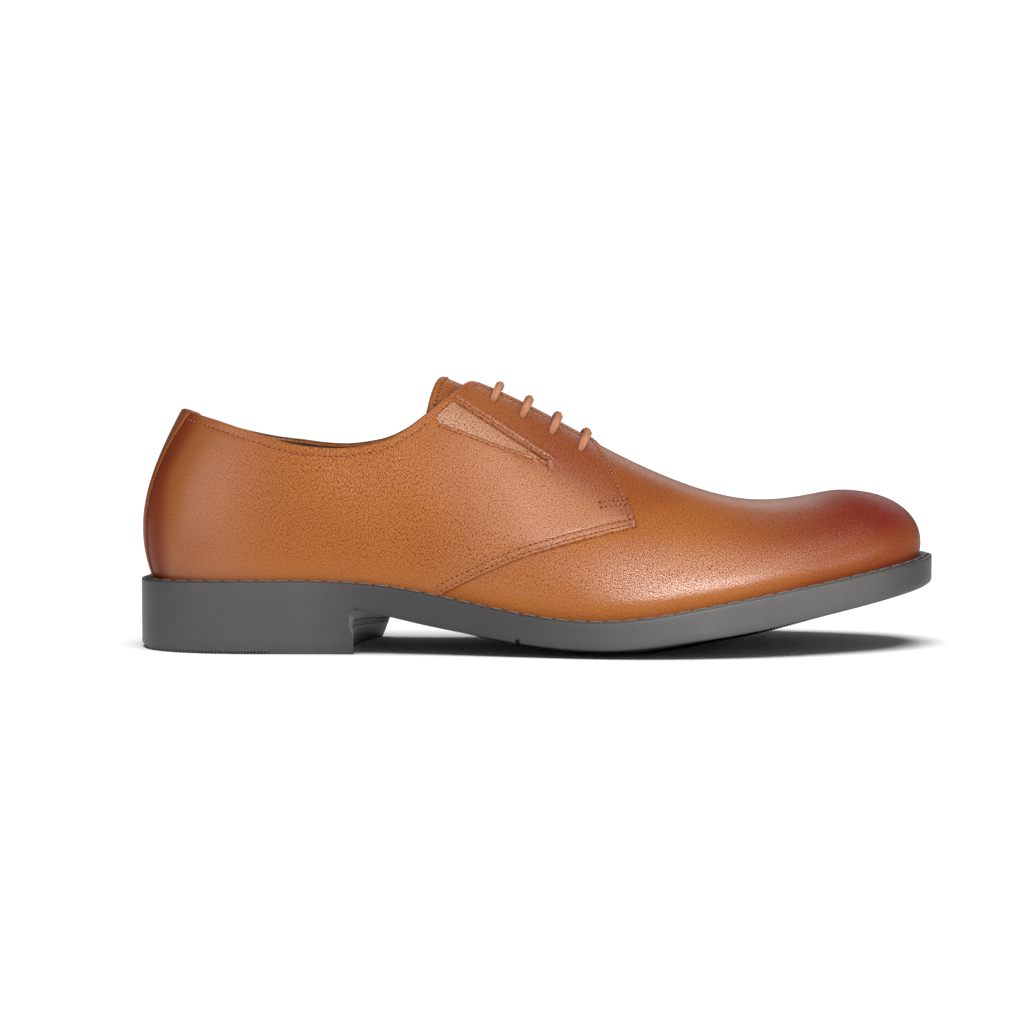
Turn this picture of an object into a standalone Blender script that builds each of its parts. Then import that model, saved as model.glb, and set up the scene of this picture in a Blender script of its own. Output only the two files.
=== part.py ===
"""Plain-toe derby dress shoe for the right foot, standing empty on its heel and forefoot.

X runs from heel to toe, Y towards the medial side of the foot and Z up. Sizes are in millimetres
and every object is scaled to metres where its mesh is made.
"""

from collections import namedtuple

import bmesh
import bpy
import numpy as np

MM = 0.001

# Driving sizes
WALL = 1.8
GAP = 0.3
QUARTER = 1.2
STRIP = 0.8
TONGUE = 1.6
INSOLE = 2.4
INSOLE_INSET = 2.8
LACE_RADIUS = 1.45
LACE_DIP = 1.4
THROAT_HALF_GAP = 6.0
COLLAR_LEAN = 1.5
FACING_CORNER = 4.0
THROAT_END = 174.0
FRONT_EDGE_ROW = 9.4
STRIP_EDGE_ROW = 0.65
OVERLAY_FOOT = 0.012
BEAD = 0.2
BREAST_HOLLOW = 5.0
BREAST_ROW = 4
RIDGE_ROW = 7

# One row for each section of the last, from the back seam to the toe. The base is the line where
# the upper meets the sole: skew sets the medial point forward of the lateral one. The top is the
# ridge of the vamp, or the edge of the cone behind it. The four handles shape the wall between
# them: out and up from the base, out and down from the top. The last four columns are the sole:
# rim beyond the upper, lower edge of its side, tread height and rounding of the lower edge.
Section = namedtuple(
    "Section",
    "base_x skew lateral_y medial_y base_z top_x axis_y top_half top_z"
    " lateral_out medial_out base_up top_out top_down rim edge_z tread_z rounding",
)
SECTIONS = (
    Section(6.2, 0, 0.0, 0.0, 26.6, 21.5, 0, 0.0, 97.0, 10.2, 10.2, 24, 13.0, 24, 6.2, 16.5, 16.5, 0.0),
    Section(11.0, 0, -16.5, 16.5, 26.7, 25.5, 0, 12.0, 97.0, 8.3, 8.3, 24, 12.3, 24, 5.6, 16.5, 16.5, 0.0),
    Section(25.0, 1, -26.0, 25.5, 27.0, 36.0, 0, 20.0, 97.0, 5.4, 5.4, 24, 10.1, 24, 4.9, 16.5, 16.5, 0.0),
    Section(51.0, 3, -29.5, 27.5, 27.2, 54.0, 0, 24.0, 97.5, 3.5, 4.0, 24, 7.5, 24, 4.5, 16.5, 16.5, 0.0),
    Section(83.0, 7, -30.5, 24.5, 26.6, 78.0, 0, 25.0, 99.5, 3.0, 6.0, 24, 18.0, 50, 4.2, 16.5, 16.5, 0.0),
    Section(105.0, 7, -33.0, 22.5, 23.9, 95.0, 0, 21.3, 102.5, 3.0, 8.0, 25, 16.0, 24, 4.0, 12.1, 11.7, 0.3),
    Section(125.0, 6, -37.0, 24.0, 20.0, 106.0, 0, 7.5, 105.0, 3.0, 9.0, 25, 23.5, 2, 4.0, 8.3, 7.2, 0.8),
    Section(145.0, 6, -41.5, 29.5, 16.2, 116.0, 0, 0.0, 104.8, 3.0, 8.0, 24, 34.0, 0, 4.2, 5.0, 2.7, 1.5),
    Section(165.0, 7, -46.0, 37.5, 13.9, 138.0, 0, 0.0, 96.6, 3.0, 6.0, 22, 24.5, 0, 4.5, 3.0, -0.2, 2.2),
    Section(185.0, 8, -48.5, 44.0, 14.5, 160.0, 0, 0.0, 84.7, 3.0, 5.0, 20, 25.0, 0, 4.7, 3.3, -0.2, 2.4),
    Section(205.0, 8, -48.0, 47.5, 17.6, 184.0, 0, 0.0, 71.8, 3.0, 4.0, 18, 27.0, 0, 4.8, 5.9, 3.2, 2.4),
    Section(225.0, 7, -45.0, 47.5, 21.3, 207.0, 0.5, 0.0, 61.8, 3.0, 3.0, 16, 27.0, 0, 4.8, 8.8, 6.6, 2.2),
    Section(245.0, 5, -39.0, 44.5, 25.0, 229.0, 1.5, 0.0, 56.0, 3.0, 3.0, 15, 25.0, 0, 4.8, 12.5, 10.8, 2.0),
    Section(265.0, 3, -30.0, 39.0, 28.6, 249.0, 3.0, 0.0, 56.4, 2.8, 2.8, 14, 21.0, 0, 4.8, 16.4, 15.0, 2.0),
    Section(283.0, 1, -18.5, 31.5, 31.9, 262.0, 4.5, 0.0, 58.6, 2.6, 2.6, 14, 18.6, 0, 4.8, 20.0, 19.0, 2.4),
    Section(294.0, 0, -6.0, 22.0, 34.0, 268.0, 5.5, 0.0, 59.0, 2.9, 2.9, 14, 18.2, 0, 4.8, 22.3, 21.8, 2.8),
    Section(298.2, 0, 8.0, 8.0, 34.9, 270.0, 6.0, 0.0, 58.8, 3.2, 3.2, 14, 17.8, 0, 4.8, 23.3, 23.0, 3.0),
)

# Lines cut across the wall, seen from the side
Mark = namedtuple("Mark", "x z")
TOPLINE = (
    Mark(10.0, 92.0), Mark(23.6, 87.5), Mark(38.1, 82.9), Mark(54.3, 78.8), Mark(66.0, 76.9),
    Mark(78.2, 76.3), Mark(86.1, 77.2), Mark(94.0, 79.1), Mark(100.6, 82.4), Mark(109.3, 88.7),
    Mark(119.1, 96.6), Mark(125.0, 100.5),
    Mark(132.0, 105.0), Mark(160.0, 125.0),
)
QUARTER_EDGE = (
    Mark(95.0, 12.0), Mark(115.2, 22.1), Mark(133.0, 30.9), Mark(146.2, 36.4), Mark(159.2, 40.3),
    Mark(188.1, 47.4), Mark(220.0, 54.0),
)
GUSSET_WINDOW = (Mark(119.2, 93.2), Mark(113.0, 87.4), Mark(114.6, 85.3), Mark(154.6, 70.5))

# Each lace bar leaves the facing at its hole and crosses the throat at its crown
LaceBar = namedtuple("LaceBar", "hole_row hole_t crown_row")
LACES = (
    LaceBar(7.40, 0.815, 7.95),
    LaceBar(7.88, 0.781, 8.46),
    LaceBar(8.38, 0.762, 8.96),
    LaceBar(8.85, 0.745, 9.41),
)

# The tongue runs under the facings: half width and drop of its arch at points along the instep
Arch = namedtuple("Arch", "x z half_width drop")
TONGUE_ARCHES = (
    Arch(113.6, 103.0, 17.2, 15.0),
    Arch(118.0, 101.3, 16.8, 14.5),
    Arch(128.0, 97.2, 15.8, 12.0),
    Arch(140.0, 92.0, 15.6, 9.8),
    Arch(152.0, 85.6, 16.0, 8.0),
    Arch(164.0, 78.9, 15.5, 7.0),
    Arch(176.0, 72.4, 15.0, 6.0),
    Arch(186.0, 67.0, 14.0, 5.0),
)

ROWS = len(SECTIONS)
STATIONS_PER_ROW = (4, 4, 4, 4, 3, 3, 3, 3, 3, 3, 3, 3, 3, 4, 4, 4)
WALL_ROWS = (0.0, 0.14, 0.28, 0.42, 0.56, 0.68, 0.78, 0.86, 0.93, 1.0)


def top_fall(i, foot_x, foot_y):
    """How far a section's top handle drops: its own column, and the slope of the ridge it leaves."""
    s = SECTIONS[i]
    if i < RIDGE_ROW or i == ROWS - 1:
        return s.top_down
    before, after = SECTIONS[max(i - 1, RIDGE_ROW)], SECTIONS[i + 1]
    slope = (after.top_z - before.top_z) / (after.top_x - before.top_x)
    away = (foot_x - s.top_x) / np.hypot(foot_x - s.top_x, foot_y - s.axis_y)
    return s.top_down - s.top_out * away * slope


def loop_values():
    """Section columns in order round the closed base line: lateral side to the toe, medial side back."""
    values = []
    for i, s in enumerate(SECTIONS):
        fall = top_fall(i, s.base_x, s.lateral_y)
        values.append((s.base_x, s.lateral_y, s.base_z, s.top_x, s.axis_y, s.top_z, s.lateral_out,
                       s.base_up, s.top_out, fall, s.rim, s.edge_z, s.tread_z, s.rounding, -s.top_half))
    for i in range(ROWS - 2, 0, -1):
        s = SECTIONS[i]
        fall = top_fall(i, s.base_x + s.skew, s.medial_y)
        values.append((s.base_x + s.skew, s.medial_y, s.base_z, s.top_x, s.axis_y, s.top_z, s.medial_out,
                       s.base_up, s.top_out, fall, s.rim, s.edge_z, s.tread_z, s.rounding, s.top_half))
    return np.array(values, float)


LOOP = loop_values()
COUNT = len(LOOP)
STEP = np.linalg.norm(np.roll(LOOP[:, :2], -1, axis=0) - LOOP[:, :2], axis=1)
KNOT = np.concatenate([[0.0], np.cumsum(STEP)])


def loop_slopes():
    """Slopes of a smooth closed curve through the section columns."""
    matrix = np.zeros((COUNT, COUNT))
    right = np.zeros_like(LOOP)
    for i in range(COUNT):
        before, after = STEP[i - 1], STEP[i]
        k = (i + 1) % COUNT
        matrix[i, i - 1] += 1 / before
        matrix[i, i] += 2 / before + 2 / after
        matrix[i, k] += 1 / after
        right[i] = 3 * ((LOOP[i] - LOOP[i - 1]) / before**2 + (LOOP[k] - LOOP[i]) / after**2)
    slopes = np.linalg.solve(matrix, right)
    # The ridge stays exactly on the axis where the top has no width
    on_ridge = LOOP[:, 14] == 0
    on_ridge[0] = False
    slopes[on_ridge, 14] = 0
    return slopes


SLOPE = loop_slopes()


def section_at(u):
    """Section columns at distance u round the base line."""
    u = np.asarray(u, float) % KNOT[-1]
    i = np.clip(np.searchsorted(KNOT, u, side="right") - 1, 0, COUNT - 1)
    k = (i + 1) % COUNT
    h = STEP[i][..., None]
    f = ((u - KNOT[i]) / STEP[i])[..., None]
    ends = LOOP[i] * (1 + 2 * f) * (1 - f) ** 2 + LOOP[k] * f * f * (3 - 2 * f)
    return ends + h * (SLOPE[i] * f * (1 - f) ** 2 + SLOPE[k] * f * f * (f - 1))


def around(row, side):
    """Distance round the base line of a section row: side -1 is lateral, +1 medial."""
    if side < 0:
        return np.interp(row, np.arange(ROWS), KNOT[:ROWS])
    return np.interp(row, np.arange(ROWS), KNOT[COUNT - np.arange(ROWS)])


def wall(u, t):
    """Outside of the upper: u round the base line, t from the sole to the top of the section."""
    u, t = np.broadcast_arrays(np.asarray(u, float), np.asarray(t, float))
    p = section_at(u)
    foot = p[..., :2]
    top = np.stack([p[..., 3], p[..., 4] + p[..., 14]], axis=-1)
    reach = np.linalg.norm(foot - top, axis=-1)
    away = (foot - top) / reach[..., None]
    b0, b1, b2, b3 = (1 - t) ** 3, 3 * (1 - t) ** 2 * t, 3 * (1 - t) * t * t, t**3
    r = b0 * reach + b1 * (reach + p[..., 6]) + b2 * p[..., 8]
    z = b0 * p[..., 2] + b1 * (p[..., 2] + p[..., 7]) + b2 * (p[..., 5] - p[..., 9]) + b3 * p[..., 5]
    return np.concatenate([top + away * r[..., None], z[..., None]], axis=-1)


def skin(u, t, offset):
    """The wall moved out along its normal."""
    u, t = np.broadcast_arrays(np.asarray(u, float), np.asarray(t, float))
    along = wall(u + 0.5, t) - wall(u - 0.5, t)
    upward = wall(u, np.minimum(t + 0.004, 1)) - wall(u, np.maximum(t - 0.004, 0))
    normal = np.cross(along, upward)
    return wall(u, t) + offset * normal / np.linalg.norm(normal, axis=-1, keepdims=True)


def line_height(x, marks):
    """Height at x of a smooth line through the marks."""
    mx = np.array([m.x for m in marks])
    mz = np.array([m.z for m in marks])
    slope = np.gradient(mz, mx)
    i = np.clip(np.searchsorted(mx, x, side="right") - 1, 0, len(mx) - 2)
    h = mx[i + 1] - mx[i]
    f = np.clip((x - mx[i]) / h, 0, 1)
    ends = mz[i] * (1 + 2 * f) * (1 - f) ** 2 + mz[i + 1] * f * f * (3 - 2 * f)
    return ends + h * (slope[i] * f * (1 - f) ** 2 + slope[i + 1] * f * f * (f - 1))


def first_above(u, level):
    """Lowest t at which a section rises past a level, given as a function of its points, else 1."""
    t = np.linspace(0, 1, 241)
    height = level(wall(u, t))
    k = np.argmax(height > 0)
    if height[k] <= 0:
        return 1.0
    if k == 0:
        return 0.0
    return t[k - 1] + (t[k] - t[k - 1]) * height[k - 1] / (height[k - 1] - height[k])


def above_topline(p):
    """Height above the topline, which stands a little higher on the lateral side of the heel."""
    lean = COLLAR_LEAN * np.sin(np.pi * np.clip((p[..., 0] - 2) / 58, 0, 1)) * np.clip(-p[..., 1] / 22, -1, 1)
    return p[..., 2] - line_height(p[..., 0], TOPLINE) - lean


def inside_throat(p):
    half = THROAT_HALF_GAP * np.sqrt(np.clip((THROAT_END - p[..., 0]) / 8.0, 0, 1))
    return np.where(p[..., 0] > 100, half - np.abs(p[..., 1]), -50.0)


def above_edge(p):
    """Positive past the topline or in the throat, with a round corner where they meet."""
    a, b = above_topline(p), inside_throat(p)
    return np.maximum(a, b) + np.maximum(FACING_CORNER - np.abs(a - b), 0) ** 2 / (4 * FACING_CORNER)


def wall_top(u):
    """Where the upper ends on a section: topline, facing edge or ridge."""
    return first_above(u, above_edge)


def quarter_foot(u):
    """Where the quarter begins on a section: at the sole, or on its stitched lower edge."""
    return max(first_above(u, lambda p: p[..., 2] - line_height(p[..., 0], QUARTER_EDGE)), OVERLAY_FOOT)


def base_normal(u):
    along = (section_at(u + 0.5) - section_at(u - 0.5))[..., :2]
    along = along / np.linalg.norm(along, axis=-1, keepdims=True)
    return np.stack([along[..., 1], -along[..., 0]], axis=-1)


def beside(u, outset, z):
    """Point at height z, outset from the base line in plan."""
    u, outset, z = np.broadcast_arrays(np.asarray(u, float), np.asarray(outset, float), np.asarray(z, float))
    xy = section_at(u)[..., :2] + base_normal(u) * outset[..., None]
    return np.concatenate([xy, z[..., None]], axis=-1)


def row_stations():
    """Section row numbers, finer where the outline turns quickly."""
    rows = []
    for i, n in enumerate(STATIONS_PER_ROW):
        rows.extend(i + np.arange(n) / n)
    return np.array(rows + [ROWS - 1.0])


ROW = row_stations()
OUTLINE = beside(np.linspace(0, KNOT[-1], 1200), section_at(np.linspace(0, KNOT[-1], 1200))[:, 10], 0.0)
CENTRE = np.array([*(OUTLINE.min(axis=0) + OUTLINE.max(axis=0))[:2] / 2, 0.0])


def material(name, colour, roughness):
    made = bpy.data.materials.new(name)
    made.use_nodes = True
    shader = made.node_tree.nodes["Principled BSDF"]
    shader.inputs["Base Color"].default_value = (*colour, 1)
    shader.inputs["Roughness"].default_value = roughness
    return made


def grid_object(name, grids, collection, look, closed=True):
    """Mesh of quads through grids of points in millimetres, welded where the points meet."""
    mesh = bpy.data.meshes.new(name)
    made = bmesh.new()
    for points in grids:
        points = (np.asarray(points) - CENTRE) * MM
        corners = [[made.verts.new(p) for p in line] for line in points]
        for a, b in zip(corners, corners[1:]):
            for j in range(len(a) - 1):
                made.faces.new((a[j], b[j], b[j + 1], a[j + 1]))
    bmesh.ops.remove_doubles(made, verts=made.verts, dist=0.00001)
    if closed:
        bmesh.ops.recalc_face_normals(made, faces=made.faces)
    for face in made.faces:
        face.smooth = True
    made.to_mesh(mesh)
    made.free()
    made_object = bpy.data.objects.new(name, mesh)
    collection.objects.link(made_object)
    if look:
        mesh.materials.append(look)
    return made_object


def thicken(piece, thickness, outward):
    solid = piece.modifiers.new("thickness", "SOLIDIFY")
    solid.thickness = thickness * MM
    solid.offset = 1.0 if outward else -1.0
    solid.use_even_offset = True
    solid.use_quality_normals = True


def sole_side(u, heel):
    """Points down the side of the sole at one station, from inside its top edge to the tread."""
    s = section_at(u)
    top, rim, edge, rounding = s[2] - GAP, s[10], s[11], max(s[13], 0.0)
    steps = [(-INSOLE_INSET, top), (rim - 1.5, top), (rim - 1.2, top - BEAD), (rim - 0.5, top - BEAD), (rim, top - BEAD - 0.6)]
    if heel:
        steps += [(rim, z) for z in (16.5, 8.3, 8.0, 7.2, 6.9, 1.2)]
        steps += [(rim - 0.5, 0.35), (rim - 1.4, 0.0)]
    else:
        steps += [(rim, edge + 0.6 * rounding), (rim - 0.35 * rounding, edge + 0.15 * rounding)]
        steps += [(rim - rounding, edge)]
    return np.array([beside(u, outset, z) for outset, z in steps])


def across(lateral, medial, z, hollow=0.0):
    """Row of points across the sole between two ends, at height z between them."""
    share = np.array([0, 0.12, 0.37, 0.63, 0.88, 1.0])
    line = lateral + (medial - lateral) * share[:, None]
    line[1:-1, 2] = z
    line[:, 0] -= hollow * 4 * share * (1 - share)
    return line


def build_outsole(collection, look):
    heel_rows = ROW[ROW <= BREAST_ROW]
    fore_rows = ROW[ROW >= BREAST_ROW]
    grids = []
    sides = {}
    for side in (-1, 1):
        sides[side, "heel"] = np.array([sole_side(around(r, side), True) for r in heel_rows])
        sides[side, "fore"] = np.array([sole_side(around(r, side), False) for r in fore_rows])
        grids += [sides[side, "heel"], sides[side, "fore"]]
    # Top face, under the upper and the insole
    for part in ("heel", "fore"):
        left, right = sides[-1, part][:, 0], sides[1, part][:, 0]
        grids.append([[a, (a + b) / 2, b] for a, b in zip(left, right)])
    # Underside of the heel
    left, right = sides[-1, "heel"][:, -1], sides[1, "heel"][:, -1]
    hollow = np.where(heel_rows == BREAST_ROW, BREAST_HOLLOW, 0.0)
    grids.append([across(a, b, 0.0, h) for a, b, h in zip(left, right, hollow)])
    # Breast of the heel, hollow in plan, with a groove across it
    left, right = sides[-1, "heel"][-1][5:], sides[1, "heel"][-1][5:]
    breast = []
    for level, (a, b) in enumerate(zip(left, right)):
        line = across(a, b, a[2], BREAST_HOLLOW)
        if level in (2, 3):
            line[1:-1, 0] -= 0.6
        breast.append(line)
    grids.append(breast)
    # Waist and tread
    left, right = sides[-1, "fore"][:, -1], sides[1, "fore"][:, -1]
    tread = np.maximum(section_at(around(fore_rows, -1))[:, 12], 0.0)
    hollow = np.where(fore_rows == BREAST_ROW, BREAST_HOLLOW, 0.0)
    grids.append([across(a, b, z, h) for a, b, z, h in zip(left, right, tread, hollow)])
    return grid_object("outsole", grids, collection, look)


def build_insole(collection, look):
    lines = []
    for r in ROW:
        left, right = around(r, -1), around(r, 1)
        z = section_at(left)[2] + 0.2
        a, b = beside(left, -INSOLE_INSET, z), beside(right, -INSOLE_INSET, z)
        lines.append([a, (a + b) / 2, b])
    piece = grid_object("insole", [lines], collection, look, closed=False)
    thicken(piece, INSOLE, True)
    return piece


def build_upper(collection, look):
    halves = {}
    for side in (-1, 1):
        u = around(ROW, side)
        tops = np.array([wall_top(v) for v in u])
        halves[side] = wall(u[:, None], tops[:, None] * np.array(WALL_ROWS)), tops
    # Both sides share the ridge
    ridge = (halves[-1][1] == 1.0) & (halves[1][1] == 1.0)
    shared = (halves[-1][0][ridge, -1] + halves[1][0][ridge, -1]) / 2
    for points, _ in halves.values():
        points[ridge, -1] = shared
    points = np.concatenate([halves[-1][0], halves[1][0][-2::-1]])
    piece = grid_object("upper", [points], collection, look, closed=False)
    thicken(piece, WALL, False)
    return piece


def build_quarters(collection, cutters, look):
    rows = np.concatenate([ROW[ROW < FRONT_EDGE_ROW - 0.1], [FRONT_EDGE_ROW]])
    stations = np.concatenate([around(rows[::-1], 1) - KNOT[-1], around(rows[1:], -1)])
    low = np.array([quarter_foot(u) for u in stations])
    high = np.array([wall_top(u) for u in stations])
    t = low[:, None] + (high - low)[:, None] * np.array(WALL_ROWS)
    piece = grid_object("quarters", [skin(stations[:, None], t, GAP)], collection, look, closed=False)
    thicken(piece, QUARTER, True)
    corners = np.array([(m.x, 0.0, m.z) for m in GUSSET_WINDOW])
    reach = np.array([0.0, 45.0, 0.0])
    loop = np.vstack([corners, corners[:1]])
    middle = corners.mean(axis=0)
    sides = [loop - reach, loop + reach]
    caps = [[loop - reach, [middle - reach] * len(loop)], [loop + reach, [middle + reach] * len(loop)]]
    cutter = grid_object("gusset_cutter", [sides, *caps], cutters, None)
    cutter.hide_render = True
    cutter.display_type = "WIRE"
    window = piece.modifiers.new("gusset windows", "BOOLEAN")
    window.operation = "DIFFERENCE"
    window.solver = "EXACT"
    window.object = cutter
    return piece


def build_back_strip(collection, look):
    rows = np.array([0.0, 0.25, 0.5, STRIP_EDGE_ROW])
    stations = np.concatenate([around(rows[::-1], 1) - KNOT[-1], around(rows[1:], -1)])
    tops = np.array([wall_top(u) for u in stations])
    t = OVERLAY_FOOT + (tops - OVERLAY_FOOT)[:, None] * np.array(WALL_ROWS)
    grid = skin(stations[:, None], t, 2 * GAP + QUARTER)
    piece = grid_object("back_strip", [grid], collection, look, closed=False)
    thicken(piece, STRIP, True)
    return piece


def build_tongue(collection, look):
    turn = np.linspace(-1.25, 1.25, 13)
    centres = np.array([(a.x, 0.0, a.z) for a in TONGUE_ARCHES])
    along = np.gradient(centres, axis=0)
    along /= np.linalg.norm(along, axis=1, keepdims=True)
    grid = []
    for arch, centre, way in zip(TONGUE_ARCHES, centres, along):
        down = np.array([way[2], 0.0, -way[0]])
        y = arch.half_width * np.sin(turn) / np.sin(1.25)
        drop = arch.drop * (1 - np.cos(turn)) / (1 - np.cos(1.25))
        line = centre + drop[:, None] * down
        line[:, 1] = y
        grid.append(line)
    piece = grid_object("tongue", [grid], collection, look, closed=False)
    thicken(piece, TONGUE, False)
    return piece


def lace_half(bar, side, height):
    """Half of a lace bar, from its hole to the middle of the throat."""
    start = skin(around(bar.hole_row, -1), bar.hole_t, height)[0]
    end = section_at(around(bar.crown_row, -1))[3]
    rows = np.linspace(bar.hole_row - 0.4, bar.crown_row + 0.4, 80)
    points = []
    for share in np.linspace(0, 1, 8):
        t = bar.hole_t + (1 - bar.hole_t) * share
        x = start + (end - start) * np.sin(share * np.pi / 2)
        row = np.interp(x, skin(around(rows, side), t, height)[:, 0], rows)
        dip = LACE_DIP * np.clip((share - 0.75) / 0.25, 0, 1)
        points.append(skin(around(row, side), t, height - dip))
    return np.array(points)


def build_lace(number, bar, collection, look):
    height = GAP + QUARTER + GAP + LACE_RADIUS
    lateral, medial = (lace_half(bar, side, height) for side in (-1, 1))
    middle = (lateral[-1:] + medial[-1:]) / 2
    path = np.vstack([lateral[:-1], middle, medial[-2::-1]])
    curve = bpy.data.curves.new(f"lace_{number}", "CURVE")
    curve.dimensions = "3D"
    curve.bevel_depth = LACE_RADIUS * MM
    curve.bevel_resolution = 2
    curve.use_fill_caps = True
    spline = curve.splines.new("POLY")
    spline.points.add(len(path) - 1)
    for point, p in zip(spline.points, (path - CENTRE) * MM):
        point.co = (*p, 1.0)
    curve.materials.append(look)
    piece = bpy.data.objects.new(f"lace_{number}", curve)
    collection.objects.link(piece)
    return piece


for old in list(bpy.data.objects):
    bpy.data.objects.remove(old)
shoe = bpy.data.collections.new("derby_shoe_right")
bpy.context.scene.collection.children.link(shoe)
cutters = bpy.data.collections.new("cutters")
bpy.context.scene.collection.children.link(cutters)

build_outsole(shoe, material("grey_rubber", (0.09, 0.09, 0.09), 0.6))
build_insole(shoe, material("insole_board", (0.25, 0.18, 0.12), 0.8))
build_upper(shoe, material("tan_vamp_leather", (0.42, 0.16, 0.06), 0.45))
build_quarters(shoe, cutters, material("tan_quarter_leather", (0.45, 0.18, 0.07), 0.45))
build_back_strip(shoe, material("tan_strip_leather", (0.35, 0.12, 0.05), 0.45))
build_tongue(shoe, material("tan_tongue_leather", (0.4, 0.15, 0.06), 0.5))
lace_look = material("tan_lace", (0.5, 0.22, 0.11), 0.7)
for number, bar in enumerate(LACES, start=1):
    build_lace(number, bar, shoe, lace_look)
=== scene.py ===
"""Looks of a plain-toe derby shoe for the right foot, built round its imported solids.

X runs from heel to toe, Y to the medial side of the foot and Z up. Sizes are in millimetres on the
axes of the last, with x counted from the back of the sole, and become metres where a mesh is made.
"""

from collections import namedtuple

import bmesh
import bpy
import numpy as np
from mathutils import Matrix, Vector, kdtree
from mathutils.geometry import delaunay_2d_cdt


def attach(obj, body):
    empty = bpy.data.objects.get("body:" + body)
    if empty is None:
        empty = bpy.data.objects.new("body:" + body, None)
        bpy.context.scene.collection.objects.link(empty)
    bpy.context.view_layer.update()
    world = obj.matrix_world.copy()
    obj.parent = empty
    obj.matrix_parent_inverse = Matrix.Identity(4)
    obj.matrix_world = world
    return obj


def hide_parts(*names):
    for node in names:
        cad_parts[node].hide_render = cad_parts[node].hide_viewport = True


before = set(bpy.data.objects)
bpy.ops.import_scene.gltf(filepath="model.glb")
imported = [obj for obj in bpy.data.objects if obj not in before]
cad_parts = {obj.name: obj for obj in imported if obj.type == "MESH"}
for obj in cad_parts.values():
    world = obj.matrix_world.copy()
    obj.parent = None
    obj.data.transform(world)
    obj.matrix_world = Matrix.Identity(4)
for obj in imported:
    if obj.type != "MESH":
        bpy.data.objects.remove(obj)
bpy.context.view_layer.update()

# Vamp. The front of the upper is one piece of calf, burnished darker at the toe, pulled wet over the
# last and cemented under the insole. The last is not part of the shoe, but its sections give every
# piece of the upper its curve: a closed base line, a ridge above it and four handles between them.
MM = 0.001
# Share of the wall that runs on below the edge of the sole
TUCK = -0.012
THROAT_HALF_GAP = 6.0
COLLAR_LEAN = 1.5
FACING_CORNER = 4.0
THROAT_END = 174.0
RIDGE_ROW = 7
# One row for each section of the last, from the back seam to the toe. The base is the line where
# the upper meets the sole: skew sets the medial point forward of the lateral one. The top is the
# ridge of the vamp, or the edge of the cone behind it. The four handles shape the wall between
# them: out and up from the base, out and down from the top. The last four columns are the sole:
# rim beyond the upper, lower edge of its side, tread height and rounding of the lower edge.
Section = namedtuple(
    "Section",
    "base_x skew lateral_y medial_y base_z top_x axis_y top_half top_z"
    " lateral_out medial_out base_up top_out top_down rim edge_z tread_z rounding",
)
SECTIONS = (
    Section(6.2, 0, 0.0, 0.0, 26.6, 21.5, 0, 0.0, 97.0, 10.2, 10.2, 24, 13.0, 24, 6.2, 16.5, 16.5, 0.0),
    Section(11.0, 0, -16.5, 16.5, 26.7, 25.5, 0, 12.0, 97.0, 8.3, 8.3, 24, 12.3, 24, 5.6, 16.5, 16.5, 0.0),
    Section(25.0, 1, -26.0, 25.5, 27.0, 36.0, 0, 20.0, 97.0, 5.4, 5.4, 24, 10.1, 24, 4.9, 16.5, 16.5, 0.0),
    Section(51.0, 3, -29.5, 27.5, 27.2, 54.0, 0, 24.0, 97.5, 3.5, 4.0, 24, 7.5, 24, 4.5, 16.5, 16.5, 0.0),
    Section(83.0, 7, -30.5, 24.5, 26.6, 78.0, 0, 25.0, 99.5, 3.0, 6.0, 24, 18.0, 50, 4.2, 16.5, 16.5, 0.0),
    Section(105.0, 7, -33.0, 22.5, 23.9, 95.0, 0, 21.3, 102.5, 3.0, 8.0, 25, 16.0, 24, 4.0, 12.1, 11.7, 0.3),
    Section(125.0, 6, -37.0, 24.0, 20.0, 106.0, 0, 7.5, 105.0, 3.0, 9.0, 25, 23.5, 2, 4.0, 8.3, 7.2, 0.8),
    Section(145.0, 6, -41.5, 29.5, 16.2, 116.0, 0, 0.0, 104.8, 3.0, 8.0, 24, 34.0, 0, 4.2, 5.0, 2.7, 1.5),
    Section(165.0, 7, -46.0, 37.5, 13.9, 138.0, 0, 0.0, 96.6, 3.0, 6.0, 22, 24.5, 0, 4.5, 3.0, -0.2, 2.2),
    Section(185.0, 8, -48.5, 44.0, 14.5, 160.0, 0, 0.0, 84.7, 3.0, 5.0, 20, 25.0, 0, 4.7, 3.3, -0.2, 2.4),
    Section(205.0, 8, -48.0, 47.5, 17.6, 184.0, 0, 0.0, 71.8, 3.0, 4.0, 18, 27.0, 0, 4.8, 5.9, 3.2, 2.4),
    Section(225.0, 7, -45.0, 47.5, 21.3, 207.0, 0.5, 0.0, 61.8, 3.0, 3.0, 16, 27.0, 0, 4.8, 8.8, 6.6, 2.2),
    Section(245.0, 5, -39.0, 44.5, 25.0, 229.0, 1.5, 0.0, 56.0, 3.0, 3.0, 15, 25.0, 0, 4.8, 12.5, 10.8, 2.0),
    Section(265.0, 3, -30.0, 39.0, 28.6, 249.0, 3.0, 0.0, 56.4, 2.8, 2.8, 14, 21.0, 0, 4.8, 16.4, 15.0, 2.0),
    Section(283.0, 1, -18.5, 31.5, 31.9, 262.0, 4.5, 0.0, 58.6, 2.6, 2.6, 14, 18.6, 0, 4.8, 20.0, 19.0, 2.4),
    Section(294.0, 0, -6.0, 22.0, 34.0, 268.0, 5.5, 0.0, 59.0, 2.9, 2.9, 14, 18.2, 0, 4.8, 22.3, 21.8, 2.8),
    Section(298.2, 0, 8.0, 8.0, 34.9, 270.0, 6.0, 0.0, 58.8, 3.2, 3.2, 14, 17.8, 0, 4.8, 23.3, 23.0, 3.0),
)
ROWS = len(SECTIONS)
LAST_ROW = ROWS - 1
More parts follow.
